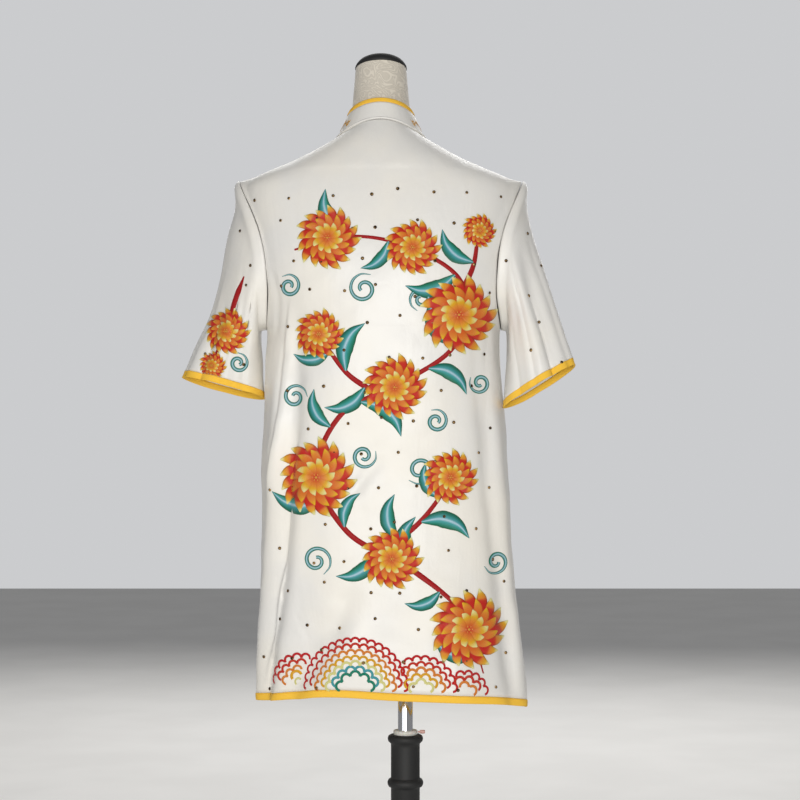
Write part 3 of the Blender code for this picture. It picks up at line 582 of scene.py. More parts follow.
def smooth_path(points, count):
    """Evenly spaced points of a smooth curve through a few points."""
    points = np.asarray(points, float)
    chord = run_along(points)
    fine = through(chord, points, np.linspace(0, chord[-1], 400))
    run = run_along(fine)
    even = np.linspace(0, run[-1], count)
    return np.stack([np.interp(even, run, fine[:, k]) for k in range(points.shape[1])], axis=-1)


class Paint:
    """A socket, or a number, in an expression of shader maths."""

    def __init__(self, finish, socket):
        self.finish, self.socket = finish, socket

    def __add__(self, other):
        return self.finish.node("ShaderNodeMath", {"operation": "ADD"}, {0: self, 1: other})

    def __mul__(self, other):
        return self.finish.node("ShaderNodeMath", {"operation": "MULTIPLY"}, {0: self, 1: other})

    def part(self, name):
        """Another output of the same node."""
        return Paint(self.finish, self.socket.node.outputs[name])

    def sine(self):
        return self.finish.node("ShaderNodeMath", {"operation": "SINE"}, {0: self})

    def clamped(self, low, high, to_low=0.0, to_high=1.0):
        """Smoothly from to_low at low to to_high at high."""
        values = {"Value": self, "From Min": low, "From Max": high, "To Min": to_low, "To Max": to_high}
        return self.finish.node("ShaderNodeMapRange", {"interpolation_type": "SMOOTHSTEP"}, values)


class Finish:
    """A material under way. Its shader's plain sockets are set by name."""

    def __init__(self, name, **plain):
        self.material = bpy.data.materials.new(name)
        self.material.use_nodes = True
        self.tree = self.material.node_tree
        self.shader = self.tree.nodes["Principled BSDF"]
        for key, value in plain.items():
            self.shader.inputs[key.replace("_", " ").title().replace("Ior", "IOR")].default_value = value

    def node(self, kind, set_first=None, values=None, out=0):
        made = self.tree.nodes.new(kind)
        for key, value in (set_first or {}).items():
            setattr(made, key, value)
        for key, value in (values or {}).items():
            self.put(made.inputs[key], value)
        return Paint(self, made.outputs[out])

    def put(self, socket, value):
        if isinstance(value, Paint):
            self.tree.links.new(value.socket, socket)
        elif hasattr(value, "__len__") and len(value) == 3 and socket.type == "RGBA":
            socket.default_value = (*value, 1.0)
        else:
            socket.default_value = value

    def set(self, name, value):
        self.put(self.shader.inputs[name], value)

    def place(self, kind="Object"):
        if kind == "UV":
            return self.node("ShaderNodeUVMap", {"uv_map": "UVMap"})
        return self.node("ShaderNodeTexCoord", out=kind)

    def noise(self, place, scale, detail=3.0, roughness=0.5, distortion=0.0, stretch=None):
        if stretch:
            place = self.node("ShaderNodeMapping", None, {"Vector": place, "Scale": stretch})
        values = {"Vector": place, "Scale": scale, "Detail": detail, "Roughness": roughness, "Distortion": distortion}
        return self.node("ShaderNodeTexNoise", None, values)

    def bands(self, place, direction, scale, **more):
        values = {"Vector": place, "Scale": scale, **more}
        return self.node("ShaderNodeTexWave", {"wave_type": "BANDS", "bands_direction": direction}, values, out="Fac")

    def mix(self, share, first, second, blend="MIX"):
        kind = {"data_type": "RGBA", "blend_type": blend}
        return self.node("ShaderNodeMix", kind, {0: share, 6: first, 7: second}, out=2)

    def split(self, place):
        return self.node("ShaderNodeSeparateXYZ", None, {0: place})

    def bump(self, height, strength, distance):
        values = {"Height": height, "Strength": strength, "Distance": distance}
        self.set("Normal", self.node("ShaderNodeBump", None, values))


def finish_of(name):
    found = bpy.data.materials.get(name)
    return found or FINISHES[name]().material


def satin():
    colour = tuple(settings().satin_colour)
    f = Finish("ivory_satin", roughness=0.40, specular_ior_level=0.5, sheen_weight=0.15, sheen_roughness=0.35)
    place, cloth = f.place(), f.place("UV")
    cloudy = f.noise(place, 7.0, 3.0)
    cool = tuple(c * k for c, k in zip(colour, (0.955, 0.965, 0.985)))
    warm = tuple(c * k for c, k in zip(colour, (1.02, 1.01, 0.985)))
    f.set("Base Color", f.mix(cloudy.clamped(0.35, 0.65), cool, warm))
    crumple = f.noise(place, 34.0, 4.0, 0.55, 0.6)
    long_crumple = f.noise(place, 22.0, 3.0, 0.5, 0.8, stretch=(1.0, 1.0, 0.22))
    weft = f.bands(cloth, "X", 420.0, Distortion=0.5, Detail=1.0)
    warp = f.bands(cloth, "DIAGONAL", 300.0)
    f.set("Roughness", cloudy.clamped(0.3, 0.7, 0.34, 0.46))
    f.bump(crumple * 0.6 + long_crumple * 1.3 + weft * 0.030 + warp * 0.022, 0.42, 0.0024)
    return f


def gold_satin():
    bright, deep = tuple(settings().gold_sheen_colour), tuple(settings().gold_shade)
    warm_glint = (1.0, 0.55, 0.03, 1.0)
    f = Finish("gold_satin", roughness=0.3, specular_ior_level=0.5, specular_tint=warm_glint)
    place, cloth = f.place(), f.place("UV")
    # Painted sheen: the base colour runs from the deep gold to the bright gold by noise patches, streaks and how
    # squarely the cloth faces along Y. This stands in for the satin's highlight.
    sheen_patches = f.noise(place, 9.0, 2.0, 0.45)
    streak = f.noise(place, 60.0, 3.0, 0.5, 0.4)
    facing = f.split(f.place("Normal")).part("Y")
    shade = sheen_patches * 1.3 + streak * 0.25 + facing * facing * 0.35
    f.set("Base Color", f.mix(shade.clamped(0.84, 1.36), deep, bright))
    f.set("Roughness", streak.clamped(0.3, 0.7, 0.26, 0.40))
    cords = f.bands(cloth, "DIAGONAL", 240.0, Distortion=0.8, Detail=1.0)
    f.bump(streak * 0.7 + cords * 0.08, 0.35, 0.0012)
    return f


def thread():
    f = Finish("embroidery_thread", roughness=0.36, specular_ior_level=0.35, sheen_weight=0.1, sheen_roughness=0.3)
    tint = f.node("ShaderNodeAttribute", {"attribute_name": "thread"}, out="Color")
    place = f.split(f.place("UV"))
    hair = f.noise(f.place(), 260.0, 2.0)
    strands = (place * 5200.0 + hair * 3.0).sine()
    # Painted shade: the thread's colour is darkened along the grooves between its strands.
    f.set("Base Color", f.mix(strands.clamped(-1.0, 0.4, 0.30, 0.0), tint, (0.02, 0.01, 0.005), "MULTIPLY"))
    f.set("Roughness", strands.clamped(-1.0, 1.0, 0.50, 0.32))
    f.bump(strands * 0.5 + hair * 0.4, 0.5, 0.0006)
    return f


def braid():
    f = Finish("gold_braid", roughness=0.36, specular_ior_level=0.6, sheen_weight=0.3)
    place = f.split(f.place("UV"))
    twist = (place * 2600.0 + place.part("Y") * 1500.0).sine()
    hair = f.noise(f.place(), 180.0, 3.0)
    # Painted shade: the cord's colour goes from gold on the ridges of the twist to deep brown in its grooves.
    f.set("Base Color", f.mix(twist.clamped(-0.9, 0.5), (0.36, 0.13, 0.008), (0.86, 0.52, 0.05)))
    f.set("Roughness", hair.clamped(0.3, 0.7, 0.30, 0.48))
    f.bump(twist * 0.6 + hair * 0.3, 0.6, 0.0006)
    return f


def speckled(name, scale, detail, tones, rough=None, share=(0.35, 0.65), bump=None, **plain):
    """A finish of two tones by one noise, which also sets its roughness and its bumps."""
    f = Finish(name, **plain)
    mottle = f.noise(f.place(), scale, detail)
    f.set("Base Color", f.mix(mottle.clamped(*share), *tones))
    if rough:
        f.set("Roughness", mottle.clamped(0.3, 0.7, *rough))
    if bump:
        f.bump(mottle, *bump)
    return f


def stud_metal():
    tones = (0.045, 0.026, 0.014), (0.40, 0.25, 0.10)
    return speckled("antique_studs", 320.0, 3.0, tones, (0.26, 0.5), (0.42, 0.62), metallic=0.9, roughness=0.34)


def damask():
    colour = tuple(settings().cover_colour)
    f = Finish("cover_damask", roughness=0.7, specular_ior_level=0.35, sheen_weight=0.3, sheen_roughness=0.5)
    place = f.place()
    bend = f.noise(place, 18.0, 1.0, 0.4)
    swirl = f.noise(place, 27.0, 1.0, 0.4, 2.0)
    bands = ((swirl + bend * 0.6) * 62.0).sine()
    leaf = bands.clamped(-0.1, 0.35)
    weave = f.noise(place, 900.0, 2.0)
    darker = tuple(c * 0.84 for c in colour)
    f.set("Base Color", f.mix(leaf, darker, colour))
    f.set("Roughness", leaf.clamped(0.0, 1.0, 0.82, 0.52))
    f.bump(leaf * 0.9 + weave * 0.30, 0.6, 0.0010)
    return f


def lacquer():
    f = Finish("black_lacquer", roughness=0.1, specular_ior_level=0.22)
    place = f.place()
    ground = f.noise(place, 14.0, 3.0)
    dust = f.noise(place, 700.0, 2.0)
    f.set("Base Color", f.mix(dust.clamped(0.58, 0.80), (0.0020, 0.0022, 0.0018), (0.010, 0.010, 0.009)))
    f.set("Roughness", (ground * 0.6 + dust * 0.4).clamped(0.3, 0.7, 0.06, 0.14))
    f.bump(ground * 0.8 + dust * 0.05, 0.10, 0.0008)
    return f


def chrome():
    f = Finish("chrome", metallic=1.0, roughness=0.08)
    place = f.place()
    smear = f.noise(place, 30.0, 4.0, 0.6, 0.5, stretch=(1.0, 1.0, 0.15))
    f.set("Base Color", f.mix(smear.clamped(0.3, 0.7), (0.62, 0.62, 0.64), (0.80, 0.80, 0.81)))
    f.set("Roughness", smear.clamped(0.35, 0.75, 0.05, 0.20))
    return f


def nylon():
    tones = (0.60, 0.56, 0.50), (0.72, 0.69, 0.64)
    bump = 0.12, 0.0004
    return speckled("bush_nylon", 240.0, 3.0, tones, (0.36, 0.52), bump=bump, roughness=0.42, subsurface_weight=0.1)


def screw_plastic():
    tones = (0.55, 0.30, 0.26), (0.66, 0.40, 0.35)
    return speckled("screw_plastic", 400.0, 2.0, tones, (0.32, 0.5), roughness=0.4)


def floor_paint():
    tones = (0.84, 0.83, 0.81), (0.88, 0.87, 0.85)
    return speckled("pale_floor", 3.0, 3.0, tones, share=(0.3, 0.7), roughness=0.9, specular_ior_level=0.2)


FINISHES = {
    "ivory_satin": satin, "gold_satin": gold_satin, "embroidery_thread": thread, "gold_braid": braid,
    "antique_studs": stud_metal, "cover_damask": damask, "black_lacquer": lacquer, "chrome": chrome,
    "bush_nylon": nylon, "screw_plastic": screw_plastic, "pale_floor": floor_paint,
}


def linked(name, data):
    made = bpy.data.objects.new(name, data)
    bpy.context.scene.collection.objects.link(made)
    return made


def put_in_scene(name, mesh, finish):
    mesh.materials.clear()
    mesh.materials.append(finish_of(finish))
    return linked(name, mesh)


def colour_points(mesh, colours):
    """Gives each point of a mesh its thread colour."""
    layer = mesh.color_attributes.new(name="thread", type="FLOAT_COLOR", domain="POINT")
    filled = np.concatenate([colours, np.ones((len(colours), 1))], axis=1)
    layer.data.foreach_set("color", filled.ravel())


def mesh_from(name, points, faces, uv=None, colours=None):
    """A mesh with an optional UV pair for each corner, in the faces' order, and a thread colour for each point."""
    mesh = bpy.data.meshes.new(name)
    mesh.from_pydata(np.asarray(points).tolist(), [], faces)
    if uv is not None:
        mesh.uv_layers.new(name="UVMap").data.foreach_set("uv", np.asarray(uv, float).ravel())
    if colours is not None:
        colour_points(mesh, colours)
    mesh.shade_smooth()
    return mesh


def shell(name, outer, inner, finish, closed=False, flip=False):
    """A closed cloth wall between two grids of points, rows first, with its UVs in metres."""
    rows, cols = outer.shape[:2]
    span = cols if closed else cols - 1
    i, j = (g.ravel() for g in np.meshgrid(np.arange(rows - 1), np.arange(span), indexing="ij"))
    run, climb = np.arange(span), np.arange(rows - 1)

    def quads(*corners):
        size = max(np.size(c[0]) for c in corners) if np.size(corners[0][0]) > 1 else np.size(corners[0][1])
        return np.stack([np.stack([np.broadcast_to(v, size) for v in c], axis=-1) for c in corners], axis=1)

    parts = [
        quads((i, j, 0), (i, j + 1, 0), (i + 1, j + 1, 0), (i + 1, j, 0)),
        quads((i, j, 1), (i + 1, j, 1), (i + 1, j + 1, 1), (i, j + 1, 1)),
        quads((0, run + 1, 0), (0, run, 0), (0, run, 1), (0, run + 1, 1)),
        quads((rows - 1, run, 0), (rows - 1, run + 1, 0), (rows - 1, run + 1, 1), (rows - 1, run, 1)),
    ]
    if not closed:
        parts.append(quads((climb, 0, 0), (climb + 1, 0, 0), (climb + 1, 0, 1), (climb, 0, 1)))
        last = cols - 1
        parts.append(quads((climb + 1, last, 0), (climb, last, 0), (climb, last, 1), (climb + 1, last, 1)))
    corners = np.concatenate(parts)
    if flip:
        corners = corners[:, ::-1]
    wrapped = np.concatenate([outer, outer[:, :1]], axis=1) if closed else outer
    u = run_along(wrapped, axis=1)
    u -= u[:, u.shape[1] // 2, None]
    v = run_along(wrapped)
    at_i, at_j, layer = corners[..., 0], corners[..., 1], corners[..., 2]
    faces = layer * rows * cols + at_i * cols + at_j % cols
    uv = np.stack([u[at_i, at_j], v[at_i, at_j]], axis=-1)
    points = np.concatenate([outer.reshape(-1, 3), inner.reshape(-1, 3)])
    return put_in_scene(name, mesh_from(name, points, faces.tolist(), uv), finish)


def eased_ridge(points, rises):
    """Rounds the ridge at the height of the shoulder tips, along each column of a panel but not at its edges."""
    reach, spread, band, edge = 22, 9.0, 0.16, 0.07
    kernel = np.exp(-0.5 * (np.arange(-reach, reach + 1) / spread) ** 2)
    padded = np.pad(points, ((reach, reach), (0, 0), (0, 0)), mode="edge")
    smooth = sum(k * padded[i:i + len(points)] for i, k in enumerate(kernel / kernel.sum()))
    share = np.linspace(0.0, 1.0, points.shape[1])
    inside = ease(0.0, edge, share) * ease(1.0, 1.0 - edge, share)
    weight = np.exp(-((rises - 1.0) / band) ** 4) * inside
    return points + (smooth - points) * weight[..., None]


def worn_wall(
    name, surface, a, b, thickness, finish, lift=0.0, extra=None, closed=False, flip=False, trims=(), rounded=0.0,
    ridge=False,
):
    """A cloth wall on a surface, moved out by lift and by extra, its named edges drawn in by half a seam."""
    a, b = np.broadcast_arrays(np.asarray(a, float), np.asarray(b, float))
    normals = outward_normals(surface, a, b) * (-1.0 if flip else 1.0)
    base = surface(a, b)
    out = np.full(a.shape, lift) if extra is None else lift + extra(base)
    if rounded:
        share = np.linspace(-1.0, 1.0, a.shape[0])[:, None]
        out = out + rounded * (np.sqrt(np.maximum(1.0 - share**4, 0.0)) - 0.5)
    outer = base + normals * out[..., None]
    low = np.minimum(out, lift) if extra is None else out
    inner = base + normals * (low - thickness)[..., None]
    if ridge:
        outer, inner = eased_ridge(outer, b), eased_ridge(inner, b)
    for axis, end in trims:
        for grid in (outer, inner):
            view = np.moveaxis(grid, axis, 0)
            edge, near = (0, 1) if end == "first" else (-1, -2)
            view[edge] += unit(view[near] - view[edge]) * SEAM / 2
    return shell(name, outer, inner, finish, closed, flip)


ALL_EDGES = ((0, "first"), (0, "last"), (1, "first"), (1, "last"))


def dressed(piece, body, slot, *nodes):
    """The piece rides on its body and stands for the named solids; slot is not used."""
    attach(piece, body)
    if nodes:
        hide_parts(*nodes)
    return piece


class Maker(bpy.types.Operator):
    """Common part of the operators that make a piece."""

    bl_options = {"REGISTER", "UNDO"}

    def execute(self, context):
        self.make(context)
        return {"FINISHED"}


class UNIFORM_OT_stage(Maker):
    """Makes the floor, the soft lights and the camera at the photograph's angle"""

    bl_idname = "uniform.stage"
    bl_label = "Stage"

    def make(self, context):
        corners = [(-8, -8, 0), (8, -8, 0), (8, 8, 0), (-8, 8, 0)]
        floor = put_in_scene("floor", mesh_from("floor", corners, [(0, 1, 2, 3)]), "pale_floor")
        world = bpy.data.worlds.new("studio")
        world.use_nodes = True
        nodes, links = world.node_tree.nodes, world.node_tree.links
        sky = nodes["Background"].inputs
        sky["Color"].default_value = (0.92, 0.93, 0.95, 1.0)
        seen = nodes.new("ShaderNodeLightPath").outputs["Is Camera Ray"]
        strength = nodes.new("ShaderNodeMath")
        strength.operation = "MULTIPLY_ADD"
        strength.inputs[1].default_value, strength.inputs[2].default_value = 0.38, 0.27
        links.new(seen, strength.inputs[0])
        links.new(strength.outputs[0], sky["Strength"])
        context.scene.world = world
        context.scene.view_settings.view_transform = "Standard"
        lights = [  # name, place, size, power, spread in degrees, and colour
            ("key", (0.10, -3.6, 1.05), 1.1, 18, 85, (1.0, 0.985, 0.955)),
            ("fill", (-2.0, -2.7, 0.9), 1.5, 9, 180, (0.97, 0.98, 1.0)),
            ("front", (0.3, 3.4, 3.2), 3.6, 105, 180, (1.0, 0.99, 0.97)),
        ]
        for name, place, size, power, spread, colour in lights:
            light = bpy.data.lights.new(name, "AREA")
            light.size, light.energy, light.color = size, power, colour
            light.spread = np.radians(spread)
            made = linked(name, light)
            made.location = place
            made.rotation_euler = (Vector((-0.02, 0.0, 1.0)) - Vector(place)).to_track_quat("-Z", "Y").to_euler()
        camera = linked("camera", bpy.data.cameras.new("camera"))
        camera.location = (-0.008, -3.1, 1.0054)
        camera.rotation_euler = (np.pi / 2, 0.0, 0.0)
        camera.data.sensor_width = 36.0
        camera.data.lens = 93.66
        context.scene.camera = camera


def panel_grid(name, step):
    """Turns and rises of a panel's fine mesh, from its hem binding to the neckline."""
    _, left, right = PANELS[name]
    body, armhole, shoulder, width = 0.555, 0.26, 0.17, 0.52 if name == "back" else 0.27
    rises = np.concatenate([
        np.linspace(0.0, rise_at(UNDERARM_Z), int(body / step))[1:],
        rise_at(armhole_height(np.linspace(180.0, 0.0, int(armhole / step))))[1:],
        1.0 + np.linspace(0.0, 1.0, int(shoulder / step))[1:],
    ])
    count = int(width / step)
    fine = (0.0, 0.28 if name == "back" else 0.45, 1.0)
    share = np.interp(np.linspace(0.0, 1.0, count), (0.0, 0.45, 1.0), fine)
    edge = left(0.0) + (right(0.0) - left(0.0)) * share
    turns = left(rises)[:, None] + (right(rises) - left(rises))[:, None] * share
    rises = np.repeat(rises[:, None], len(share), axis=1)
    keep = rises[:, 0] > 0.02
    return np.concatenate([edge[None], turns[keep]]), np.concatenate([binding_rise(edge)[None], rises[keep]])


def worn_detail(name):
    """The creases and ripples of a panel, which fade out at the neck."""
    creases = BACK_CREASES if name == "back" else FRONT_CREASES

    def extra(base):
        x, z = base[..., 0], base[..., 2]
        return (crease_depth(creases, x, z) + ripple(x, z, BODY_SEED)) * ease(1.400, 1.340, z)
    return extra


def sleeve_detail(base):
    x, y, z = np.moveaxis(base, -1, 0)
    return ripple(x + y, z, SLEEVE_SEED) * ease(1.32, 1.25, z) * ease(1.035, 1.06, z)


def bound_edge(name, surface, turns, rises, **more):
    """A gold binding over an edge, a little rounded across."""
    thickness = more.pop("thickness", BOUND_CLOTH)
    return worn_wall(name, surface, turns, rises, thickness, "gold_satin", BINDING_LIFT, rounded=BOUND_ROUNDING, **more)


class UNIFORM_OT_panels(Maker):
    """Makes the back and the two fronts with their folds, and the gold binding along each hem"""

    bl_idname = "uniform.panels"
    bl_label = "Back and fronts"

    def make(self, context):
        for name, (surface, _, _) in PANELS.items():
            turns, rises = panel_grid(name, settings().grain)
            worn = {"extra": worn_detail(name), "trims": ALL_EDGES}
            panel = worn_wall(f"satin_{name}", surface, turns, rises, CLOTH, "ivory_satin", ridge=True, **worn)
            dressed(panel, "figure", "satin", name)
            edge = np.repeat(turns[:1], BOUND_ROWS, axis=0)
            low = np.linspace(0.0, 1.0, BOUND_ROWS)[:, None] * binding_rise(edge)
            hem = bound_edge(f"binding_{name}", surface, edge, low, **worn)
            dressed(hem, "figure", "gold_satin", f"hem_binding_{name}")


class UNIFORM_OT_sleeves(Maker):
    """Makes the two set-in sleeves with their folds and gold cuff bindings"""

    bl_idname = "uniform.sleeves"
    bl_label = "Sleeves"

    def make(self, context):
        step = settings().grain
        count = int(0.40 / step)
        turns = np.arange(count) * 360.0 / count
        for side, name in ((1, "right"), (-1, "left")):
            face = sleeve(side, fine=True)
            bound = 1.0 - CUFF_BINDING / sleeve_length(side, turns)
            near_seam = [0.0, 0.006, 0.014, 0.024, 0.036, 0.05]
            reaches = np.concatenate([near_seam, np.linspace(0.065, 1.0, int(0.26 / step))])[:, None] * bound
            around = {"closed": True, "flip": side > 0, "trims": ALL_EDGES[:2]}
            cloth = worn_wall(
                f"satin_sleeve_{name}", face, turns, reaches, CLOTH, "ivory_satin", extra=sleeve_detail, **around,
            )
            dressed(cloth, "figure", "satin", f"sleeve_{name}")
            ends = bound + (1.0 - bound) * np.linspace(0.0, 1.0, BOUND_ROWS)[:, None]
            cuff = bound_edge(f"binding_cuff_{name}", face, turns, ends, **around)
            dressed(cuff, "figure", "gold_satin", f"cuff_binding_{name}")


class UNIFORM_OT_collar(Maker):
    """Makes the stand collar and its gold binding"""

    bl_idname = "uniform.collar"
    bl_label = "Collar"

    def make(self, context):
        turns = np.linspace(90 + COLLAR_GAP, 450 - COLLAR_GAP, 181)[None]
        top = 1.0 - COLLAR_BINDING_SHARE
        heights = np.linspace(0.0, top, 12)[:, None]
        band = worn_wall("satin_collar", collar, turns, heights, COLLAR_CLOTH, "ivory_satin", trims=ALL_EDGES)
        dressed(band, "figure", "satin", "collar")
        heights = np.linspace(top, 1.0, BOUND_ROWS)[:, None]
        thickness = COLLAR_CLOTH + 2 * BINDING_LIFT
        edge = bound_edge("binding_collar", collar, turns, heights, thickness=thickness, trims=ALL_EDGES)
        dressed(edge, "figure", "gold_satin", "collar_binding")


def cord_along(path, normals, radius, sides=8):
    """Points, quads and UVs of a round cord along a path, its ends closed."""
    tangent = unit(np.gradient(path, axis=0))
    across = unit(np.cross(normals, tangent))
    up = np.cross(tangent, across)
    turn = np.arange(sides) * 2 * np.pi / sides
    ring = np.cos(turn)[None, :, None] * across[:, None] + np.sin(turn)[None, :, None] * up[:, None]
    points = (path[:, None] + ring * radius).reshape(-1, 3)
    faces, uv = [], []
    run = run_along(path)
    last = len(path) - 1
    for i in range(last):
        for j in range(sides):
            k = (j + 1) % sides
            faces.append((i * sides + j, (i + 1) * sides + j, (i + 1) * sides + k, i * sides + k))
            a, b = j / sides * 0.01, (j + 1) / sides * 0.01
            uv += [(run[i], a), (run[i + 1], a), (run[i + 1], b), (run[i], b)]
    for end, order in ((0, range(sides)), (last, reversed(range(sides)))):
        faces.append(tuple(end * sides + j for j in order))
        uv += [(run[end], 0.0)] * sides
    return points, faces, uv


def closing_offset(z):
    return oval(CLOSING_EDGE, column(TRUNK, "half", z), 0.0, 0.0, CORNER)[0]


def turn_at(offset, z):
    share = np.abs(offset) / column(TRUNK, "half", z)
    return 90.0 - np.sign(offset) * np.degrees(np.arcsin(share ** (CORNER / 2.0)))


class UNIFORM_OT_frogs(Maker):
    """Makes the corded frogs of the front, a folded cord on either side of each ball knot"""

    bl_idname = "uniform.frogs"
    bl_label = "Frogs"

    def make(self, context):
        self.extra = worn_detail("front")
        for number in range(1, FROG_COUNT + 1):
            z = FROG_TOP_Z - (number - 1) * FROG_STEP
            self.folded_cord("right", number, z, trunk, 1)
            self.folded_cord("left", number, z, front_left, -1)
            self.ball_knot(number, z)

    def folded_cord(self, word, number, z, surface, way):
        """A cord that runs out from the closing edge, bends back and returns just above itself."""
        half, bow = 0.0017, FROG_END - 0.0022
        there = np.linspace(FROG_START, bow, 14)
        bend = np.linspace(-np.pi / 2, np.pi / 2, 7)[1:-1]
        offset = np.concatenate([there, bow + np.cos(bend) * FROG_CORD, there[::-1]])
        high = z + np.concatenate([np.full(14, -half), np.sin(bend) * half, np.full(14, half)])
        turns, rises = turn_at(closing_offset(z) + way * offset, high), rise_at(high)
        seat = surface(turns, rises)
        normals = outward_normals(surface, turns, rises)
        points, faces, uv = cord_along(seat + normals * (self.extra(seat)[:, None] + 0.0024), normals, FROG_CORD)
        if way < 0:
            faces = [f[::-1] for f in faces]
        name = f"corded_frog_{word}_{number}"
        cord = put_in_scene(name, mesh_from(name, points, faces, uv), "gold_braid")
        dressed(cord, "figure", "gold_braid", f"frog_{word}_{number}")

    def ball_knot(self, number, z):
        turn, rise = np.array([CLOSING_EDGE]), np.array([rise_at(z)])
        seat = trunk(turn, rise)
        centre = (seat + outward_normals(trunk, turn, rise) * (KNOT_RADIUS + 0.0004 + self.extra(seat)))[0]
        form = bmesh.new()
        bmesh.ops.create_uvsphere(form, u_segments=32, v_segments=20, radius=KNOT_RADIUS, calc_uvs=True)
        for vert in form.verts:
            n = vert.co.normalized()
            around, high = np.arctan2(n.y, n.x), np.arcsin(np.clip(n.z, -1, 1))
            weave = abs(np.sin(3 * around + 4 * high)) * 0.5 + abs(np.sin(3 * around - 4 * high)) * 0.5
            vert.co = Vector(centre) + n * KNOT_RADIUS * (0.90 + 0.12 * weave)
        name = f"ball_knot_{number}"
        mesh = bpy.data.meshes.new(name)
        form.to_mesh(mesh)
        form.free()
        mesh.shade_smooth()
        dressed(put_in_scene(name, mesh, "gold_braid"), "figure", "gold_braid", f"frog_knot_{number}")


class Ground:
    """Finished cloth that embroidery lies on, seen along Y from one side."""

    def __init__(self, names, side=-1):
        self.side = side
        points, faces = [], []
        for name in names:
            mesh = bpy.data.objects[name].data
            start = len(points)
            points += [tuple(v.co) for v in mesh.vertices]
            faces += [tuple(start + i for i in p.vertices) for p in mesh.polygons]
        self.tree = BVHTree.FromPolygons(points, faces)

    def __call__(self, xz):
        """Points and normals of the cloth at places of the drawing."""
        found = []
        for x, z in np.asarray(xz):
            place, normal, _, _ = self.tree.ray_cast((x, self.side, z), (0.0, -self.side, 0.0))
            if place is None:
                place, normal, _, _ = self.tree.find_nearest((x, self.side * 0.1, z))
            if normal.y * self.side < 0:
                normal = -normal
            found.append((*place, *normal))
        found = np.array(found)
        return found[:, :3], found[:, 3:]


class Needle:
    """Collects satin-stitch shapes, each a domed strip that lies on its ground."""

    def __init__(self, ground):
        self.ground = ground
        self.points, self.faces, self.uv, self.colours = [], [], [], []

    def grid(self, drawn, height, colours, uv):
        """drawn is rows by columns of the drawing; height, colours and uv match it."""
        rows, cols = drawn.shape[:2]
        place, normal = self.ground(drawn.reshape(-1, 2))
        place = place + normal * (THREAD_GAP + height.reshape(-1, 1))
        start = len(self.points)
        self.points += list(place)
        self.colours += list(np.clip(colours.reshape(-1, 3), 0, 1))
        for i in range(rows - 1):
            for j in range(cols - 1):
                corners = [(i, j), (i, j + 1), (i + 1, j + 1), (i + 1, j)]
                a, b, c = (place[r * cols + s] for r, s in corners[:3])
                if np.dot(np.cross(b - a, c - b), normal[i * cols + j]) < 0:
                    corners = corners[::-1]
                self.faces.append(tuple(start + r * cols + s for r, s in corners))
                self.uv += [tuple(uv[r, s]) for r, s in corners]

    def stroke(self, path, widths, colour_at, relief=0.0009, across=7, count=24, lift=0.0):
        """A strip along a path. colour_at takes how far along and across, both 0 to 1."""
        path = smooth_path(path, count)
        tangent = unit(np.gradient(path, axis=0))
        side = np.stack([-tangent[:, 1], tangent[:, 0]], axis=-1)
        share = np.linspace(0.0, 1.0, count)
        width = np.interp(share, np.linspace(0, 1, len(widths)), widths)
        off = np.linspace(-1.0, 1.0, across)
        drawn = path[:, None] + side[:, None] * (off[None, :, None] * width[:, None, None] / 2)
        dome = np.sqrt(np.maximum(1 - off**2, 0.0))[None] * relief
        height = lift + dome * np.minimum(width / FULL_THREAD_WIDTH, 1.0)[:, None]
        grid_along, grid_across = np.meshgrid(share, (off + 1) / 2, indexing="ij")
        colours = colour_at(grid_along, grid_across)
        first, second = np.meshgrid(run_along(path), off, indexing="ij")
        self.grid(drawn, height, colours, np.stack([first, second * width[:, None] / 2], axis=-1))

    def blossom(self, x, z, radius, turn):
        """A chrysanthemum: rings of curved petals, each ring over the one outside it, and a button of thread."""
        centre = np.array([x, z])
        for ring, (count, reach, colours) in enumerate(PETAL_RINGS):
            for k in range(count):
                angle = turn + (k + 0.5 * ring) * 2 * np.pi / count
                length = radius * reach * (1.0 + 0.06 * np.cos(5 * angle))
                way = np.array([np.cos(angle), np.sin(angle)]) * length
                side = np.array([-way[1], way[0]]) * 0.13
                bends = [(0.06, 0.0), (0.40, -0.5), (0.75, -0.3), (1.0, 1.0)]
                path = [centre + way * ahead + side * aside for ahead, aside in bends]
                wide = 2 * np.pi * radius * reach / count
                widths = [wide * share for share in (0.20, 0.52, 0.78, 0.86, 0.62, 0.06)]
                self.stroke(path, widths, banded(colours), relief=0.0011, count=18, lift=0.0010 + 0.0006 * ring)
        for k in range(7):
            seed = centre + radius * 0.085 * np.array([np.cos(k * 1.047), np.sin(k * 1.047)]) * (k > 0)
            dash = np.array([radius * 0.04, 0.0])
            widths = [radius * share for share in (0.03, 0.09, 0.03)]
            self.stroke([seed - dash, seed, seed + dash], widths, plain(GOLD_THREAD), count=7, lift=0.0026)

    def leaf(self, root, way, length):
        """A pointed leaf that bends back from its stem."""
        along, side = way * length, np.array([-way[1], way[0]]) * 0.16 * length
        path = [root + along * ahead + side * aside for ahead, aside in [(0, 0), (0.4, 1), (0.75, 0.7), (1, -0.4)]]
        widths = [length * share for share in (0.03, 0.22, 0.34, 0.31, 0.17, 0.01)]
        self.stroke(path, widths, teal, relief=0.0012, across=9, count=22, lift=0.0002)

    def curl(self, x, z, radius, start, way, colour_at, width=0.0060):
        """A tendril wound in a spiral."""
        share = np.linspace(0.0, 1.0, 14)
        angle = start + way * share * 9.0
        path = np.array([x, z]) + (radius * (1.25 - share))[:, None] * np.stack([np.cos(angle), np.sin(angle)], axis=-1)
        widths = [width * share for share in (0.17, 0.70, 0.97, 1.0, 0.8)]
        self.stroke(path, widths, colour_at, relief=0.0010, across=5, count=44)

    def finish(self, name):
        mesh = mesh_from(name, self.points, self.faces, self.uv, np.array(self.colours))
        return put_in_scene(name, mesh, "embroidery_thread")


